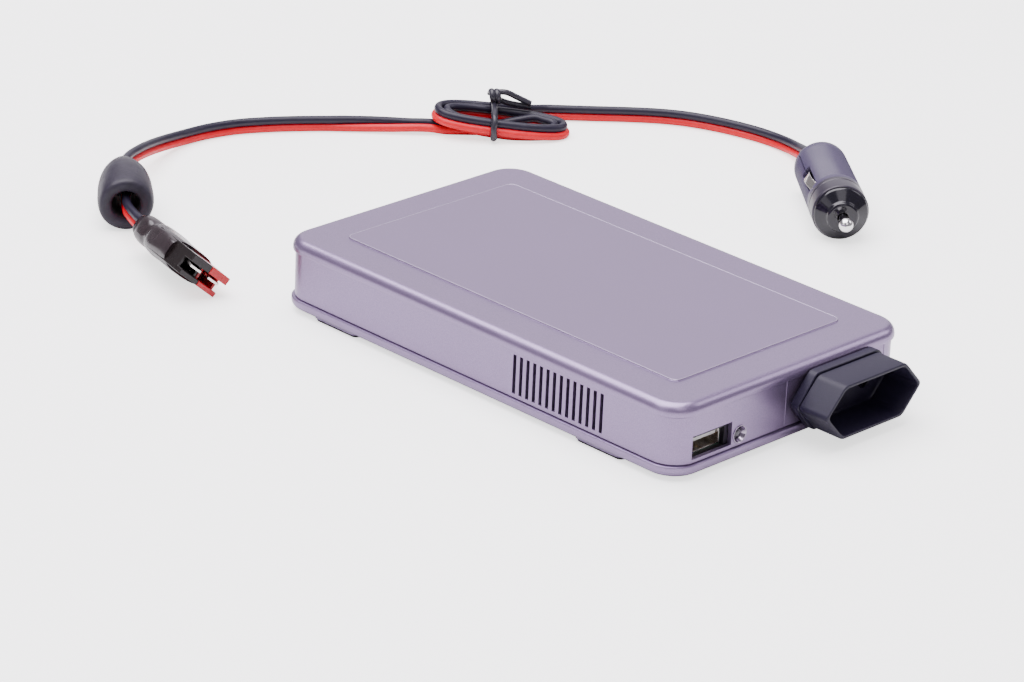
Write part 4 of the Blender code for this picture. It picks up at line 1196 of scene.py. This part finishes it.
    def make_feet(self) -> None:
        """Cut the four rubber pads, with a rounded lower edge, and finish the screws."""
        for number in CORNERS:
            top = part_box(f"foot_{number}")[1].z
            grid = ring_stack(*plan_of(f"foot_{number}"), 0.0018,
                              np.array([0.00025, 0.00008, 0.0, 0.0, 0.0001]),
                              np.array([0.0, 0.00006, 0.0002, 0.0004, top]), 8)
            self.shop.fit(grid_piece(f"foot_pad_{number}", grid), FOOT_RUBBER, f"foot_{number}")
            self.shop.soften(f"case_screw_{number}", ZINC, 0.00008)

    def build(self) -> None:
        """Build the case's shells."""
        self.make_cover()
        self.make_crease_highlight()
        self.make_posts()
        self.make_tray()
        self.shop.soften("wall_band", CASE_METAL, 0.00012)
        self.make_feet()


@dataclass(frozen=True)
class Hexagon:
    """The socket's long hexagon: flat above and below, pointed at both sides."""

    half_height: float
    top_half: float
    side_half: float
    rounding: float = 0.0015

    def ring(self, out: float, inset: float = 0.0) -> Array:
        """Return the rounded outline in a plane.

        Args:
            out: Distance of the plane from the frame's middle, towards the front.
            inset: How far the sides are moved inwards, all alike.

        Returns:
            Points of shape (n, 3), with local X to the right and local Y up.
        """
        slant = np.arctan2(self.half_height, self.side_half - self.top_half)
        high, top = self.half_height - inset, self.top_half - inset * np.tan(slant / 2)
        side = self.side_half - inset / np.sin(slant)
        corners = [(side, 0.0), (top, high), (-top, high), (-side, 0.0), (-top, -high), (top, -high)]
        plan = softened(corners, self.rounding, closed=True, steps=7)
        return np.column_stack([plan, np.full(len(plan), out)])


@dataclass
class OutletEnd:
    """Outlet plate, recessed socket, USB port and indicator lamp."""

    shop: Workshop
    socket: Facing = Facing((0.0191, 0.0, 0.0122))
    mouth: float = 0.09045
    recess_floor: float = 0.0782
    pin_spacing: float = 0.0190
    lamp: Facing = Facing((-0.0217, -0.07545, 0.0085))
    usb_contacts_at: tuple[float, ...] = (-0.0035, -0.0010, 0.0010, 0.0035)
    usb_clearance: float = 0.00005

    def make_shroud(self) -> None:
        """Mould the shroud: neck, seat, outer wall, thin rim and recess, with two pin holes in its floor."""
        neck, seat = Hexagon(0.0061, 0.0104, 0.0158), Hexagon(0.0080, 0.0128, 0.0198)
        wall, recess = Hexagon(0.00850, 0.0133, 0.0211), Hexagon(0.0074, 0.01275, 0.0196)
        rings = [neck.ring(0.0660), neck.ring(0.0775), seat.ring(0.0775), seat.ring(0.0799),
                 wall.ring(0.0799, 0.00015), wall.ring(0.08005), wall.ring(self.mouth - 0.0005),
                 wall.ring(self.mouth - 0.00015, 0.0001), wall.ring(self.mouth, 0.00035),
                 recess.ring(self.mouth, -0.0003), recess.ring(self.mouth - 0.0001, -0.0001),
                 recess.ring(self.mouth - 0.0004), recess.ring(self.recess_floor + 0.0004, 0.0002),
                 recess.ring(self.recess_floor, 0.0006)]
        shroud = grid_piece("shroud_moulded", self.socket.to_frame(np.stack(rings)), sharp=38.0)
        x, _, z = self.socket.origin
        bore = [(0.0, 0.0600), (0.0025, 0.0600), (0.0025, 0.0779), (0.0029, 0.0783), (0.0, 0.0783)]
        holes = [turned(f"pin_hole_{side}", bore, Facing((x + side * self.pin_spacing / 2, 0.0, z)), steps=40)
                 for side in (-1, 1)]
        self.shop.fit(carved(shroud, holes), SOCKET_PLASTIC, "socket_shroud")

    def make_socket(self) -> None:
        """Finish the plate, the collar behind a thin seam, the shroud and the sleeves in its floor."""
        self.shop.soften("outlet_plate", CASE_METAL, 0.00012)
        outside, seat = Hexagon(0.0091, 0.0136, 0.0214), Hexagon(0.0082, 0.0130, 0.0200)
        bore, spigot = Hexagon(0.0063, 0.0106, 0.0160), Hexagon(0.0070, 0.0120, 0.0190)
        rings = [outside.ring(0.0767, 0.0001), outside.ring(0.0768), outside.ring(0.0795),
                 outside.ring(0.07968, 0.00018), seat.ring(0.07968), seat.ring(0.07688), bore.ring(0.07688),
                 bore.ring(0.07557), spigot.ring(0.07557), spigot.ring(0.0767)]
        collar = grid_piece("collar_moulded", self.socket.to_frame(np.stack(rings)), closed_rings=True)
        self.shop.fit(collar, SOCKET_PLASTIC, "socket_flange")
        self.make_shroud()
        for side in ("left", "right"):
            self.shop.keep(f"socket_contact_{side}", NICKEL)

    def make_usb(self) -> None:
        """Finish the USB shell and its pale tongue, with four gilt contacts on the tongue's underside."""
        self.shop.soften("usb_shell", NICKEL, 0.00008)
        self.shop.soften("usb_tongue", PORT_WHITE, 0.00012)
        low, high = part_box("usb_tongue")
        middle = (low.x + high.x) / 2
        levels = high.z - np.array([0.0023, 0.00262, 0.00270])
        strips = []
        for number, offset in enumerate(self.usb_contacts_at):
            grid = ring_stack((middle + offset, low.y + 0.0048), (0.0005, 0.0040), 0.0004,
                              np.array([0.0, 0.0, 0.0001]), levels, 4)
            strips.append(grid_piece(f"strip_{number}", grid))
        self.shop.fit(joined("usb_contacts", strips), GILT, body="case")

    def make_usb_surround(self) -> None:
        """Close the gap between the USB shell and the wall with a dark plate."""
        low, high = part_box("usb_shell")
        apron = block("usb_surround", (low.x - 0.0022, -0.07380, low.z - 0.0017),
                      (high.x + 0.0022, -0.07230, high.z + 0.0022))
        fit = self.usb_clearance
        mouth = block("usb_mouth", (low.x - fit, -0.08, low.z - fit), (high.x + fit, -0.07, high.z + fit))
        self.shop.fit(carved(apron, [mouth]), PORT_BLACK, body="case")

    def make_lamp(self) -> None:
        """Turn the countersunk ring and the small smoked lens in it."""
        cup = [(0.00275, 0.0003), (0.00278, -0.0012), (0.0021, -0.0016), (0.0017, -0.0016),
               (0.0017, -0.0012), (0.0025, 0.0003)]
        ring = turned("lamp_ring", softened(cup, 0.0001, closed=True), self.lamp, closed=True)
        self.shop.fit(ring, LAMP_RING, "led_bezel")
        angle = np.linspace(0, pi / 2, 14)
        dome = np.stack([0.00142 * np.sin(angle), -0.0012 + 0.0008 * np.cos(angle)], axis=-1)
        lens = turned("lamp_dome", np.vstack([dome, [(0.00142, -0.0060), (0.0, -0.0060)]]), self.lamp)
        self.shop.fit(lens, LENS, "led_lens")

    def build(self) -> None:
        """Build the outlet end."""
        self.make_socket()
        self.make_usb()
        self.make_usb_surround()
        self.make_lamp()


@dataclass
class RearEnd:
    """Power inlet and rocker switch."""

    shop: Workshop

    def build(self) -> None:
        """Finish the inlet's housings and contacts, and the switch."""
        for color, finish in (("black", CONNECTOR_BLACK), ("red", CONNECTOR_RED)):
            self.shop.soften(f"inlet_housing_{color}", finish, 0.00025, 3)
            self.shop.soften(f"inlet_contact_{color}", NICKEL, 0.0001)
        self.shop.soften("power_switch_frame", PORT_BLACK, 0.00025, 3)
        self.shop.soften("power_switch_rocker", SOCKET_PLASTIC, 0.0002, 3)


@dataclass
class Interior:
    """What the case holds: board, transformer, capacitors, heatsinks, choke and blower."""

    shop: Workshop
    turns: int = 34                     # turns of the choke's wire
    wire_radius: float = 0.0005
    core_inset: float = 0.0011          # how far the core lies inside the winding's outside
    finishes: dict[str, Finish] = field(default_factory=lambda: {
        "transformer_core": FERRITE, "transformer_winding": COPPER, "bulk_capacitor": COMPONENT,
        "input_capacitor": COMPONENT, "heatsink_input": MILL_ALUMINIUM, "heatsink_output": MILL_ALUMINIUM,
        "transistor_input": COMPONENT, "transistor_output": COMPONENT, "blower_housing": PORT_BLACK,
        "blower_impeller": COMPONENT, "main_board": BOARD_GREEN,
    })

    def make_choke(self) -> None:
        """Wind the choke: a wire on a helix whose middle line is itself a ring."""
        low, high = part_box("output_choke")
        centre = (Vector(low) + Vector(high)) / 2
        tube, ring = (high.z - low.z) / 2, (high.x - low.x) / 2 - (high.z - low.z) / 2
        turn = np.linspace(0, 2 * pi, 1200, endpoint=False)
        wound = self.turns * turn
        reach = ring + (tube - 0.0006) * np.cos(wound)
        path = np.stack([centre.x + reach * np.cos(turn), centre.y + reach * np.sin(turn),
                         centre.z + (tube - 0.0006) * np.sin(wound)], axis=-1)
        middle = np.stack([np.cos(turn), np.sin(turn), 0 * turn], axis=-1)
        winding = swept("choke_wire", path, round_section(self.wire_radius, 6), (0.01, 0.02, 1.0),
                        closed=True)
        circle = round_section(tube - self.core_inset, 24)
        core = swept("choke_core", np.array(centre) + ring * middle[::12], circle, (0, 0, 1), closed=True)
        self.shop.fit(winding, COPPER, "output_choke")
        self.shop.fit(core, FERRITE, body="case")

    def build(self) -> None:
        """Finish the inner pieces."""
        for node, finish in self.finishes.items():
            self.shop.soften(node, finish, 0.0001)
        self.make_choke()


def main() -> None:
    """Build the looks of the whole object."""
    logging.basicConfig(level=logging.INFO, format="%(name)s: %(message)s")
    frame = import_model()
    Studio().build()
    shop = Workshop(frame["nodes"])
    plug = VehiclePlug(shop).build()
    Lead(shop).build(plug)
    CaseShells(shop).build()
    OutletEnd(shop).build()
    RearEnd(shop).build()
    Interior(shop).build()


if __name__ == "__main__":
    main()
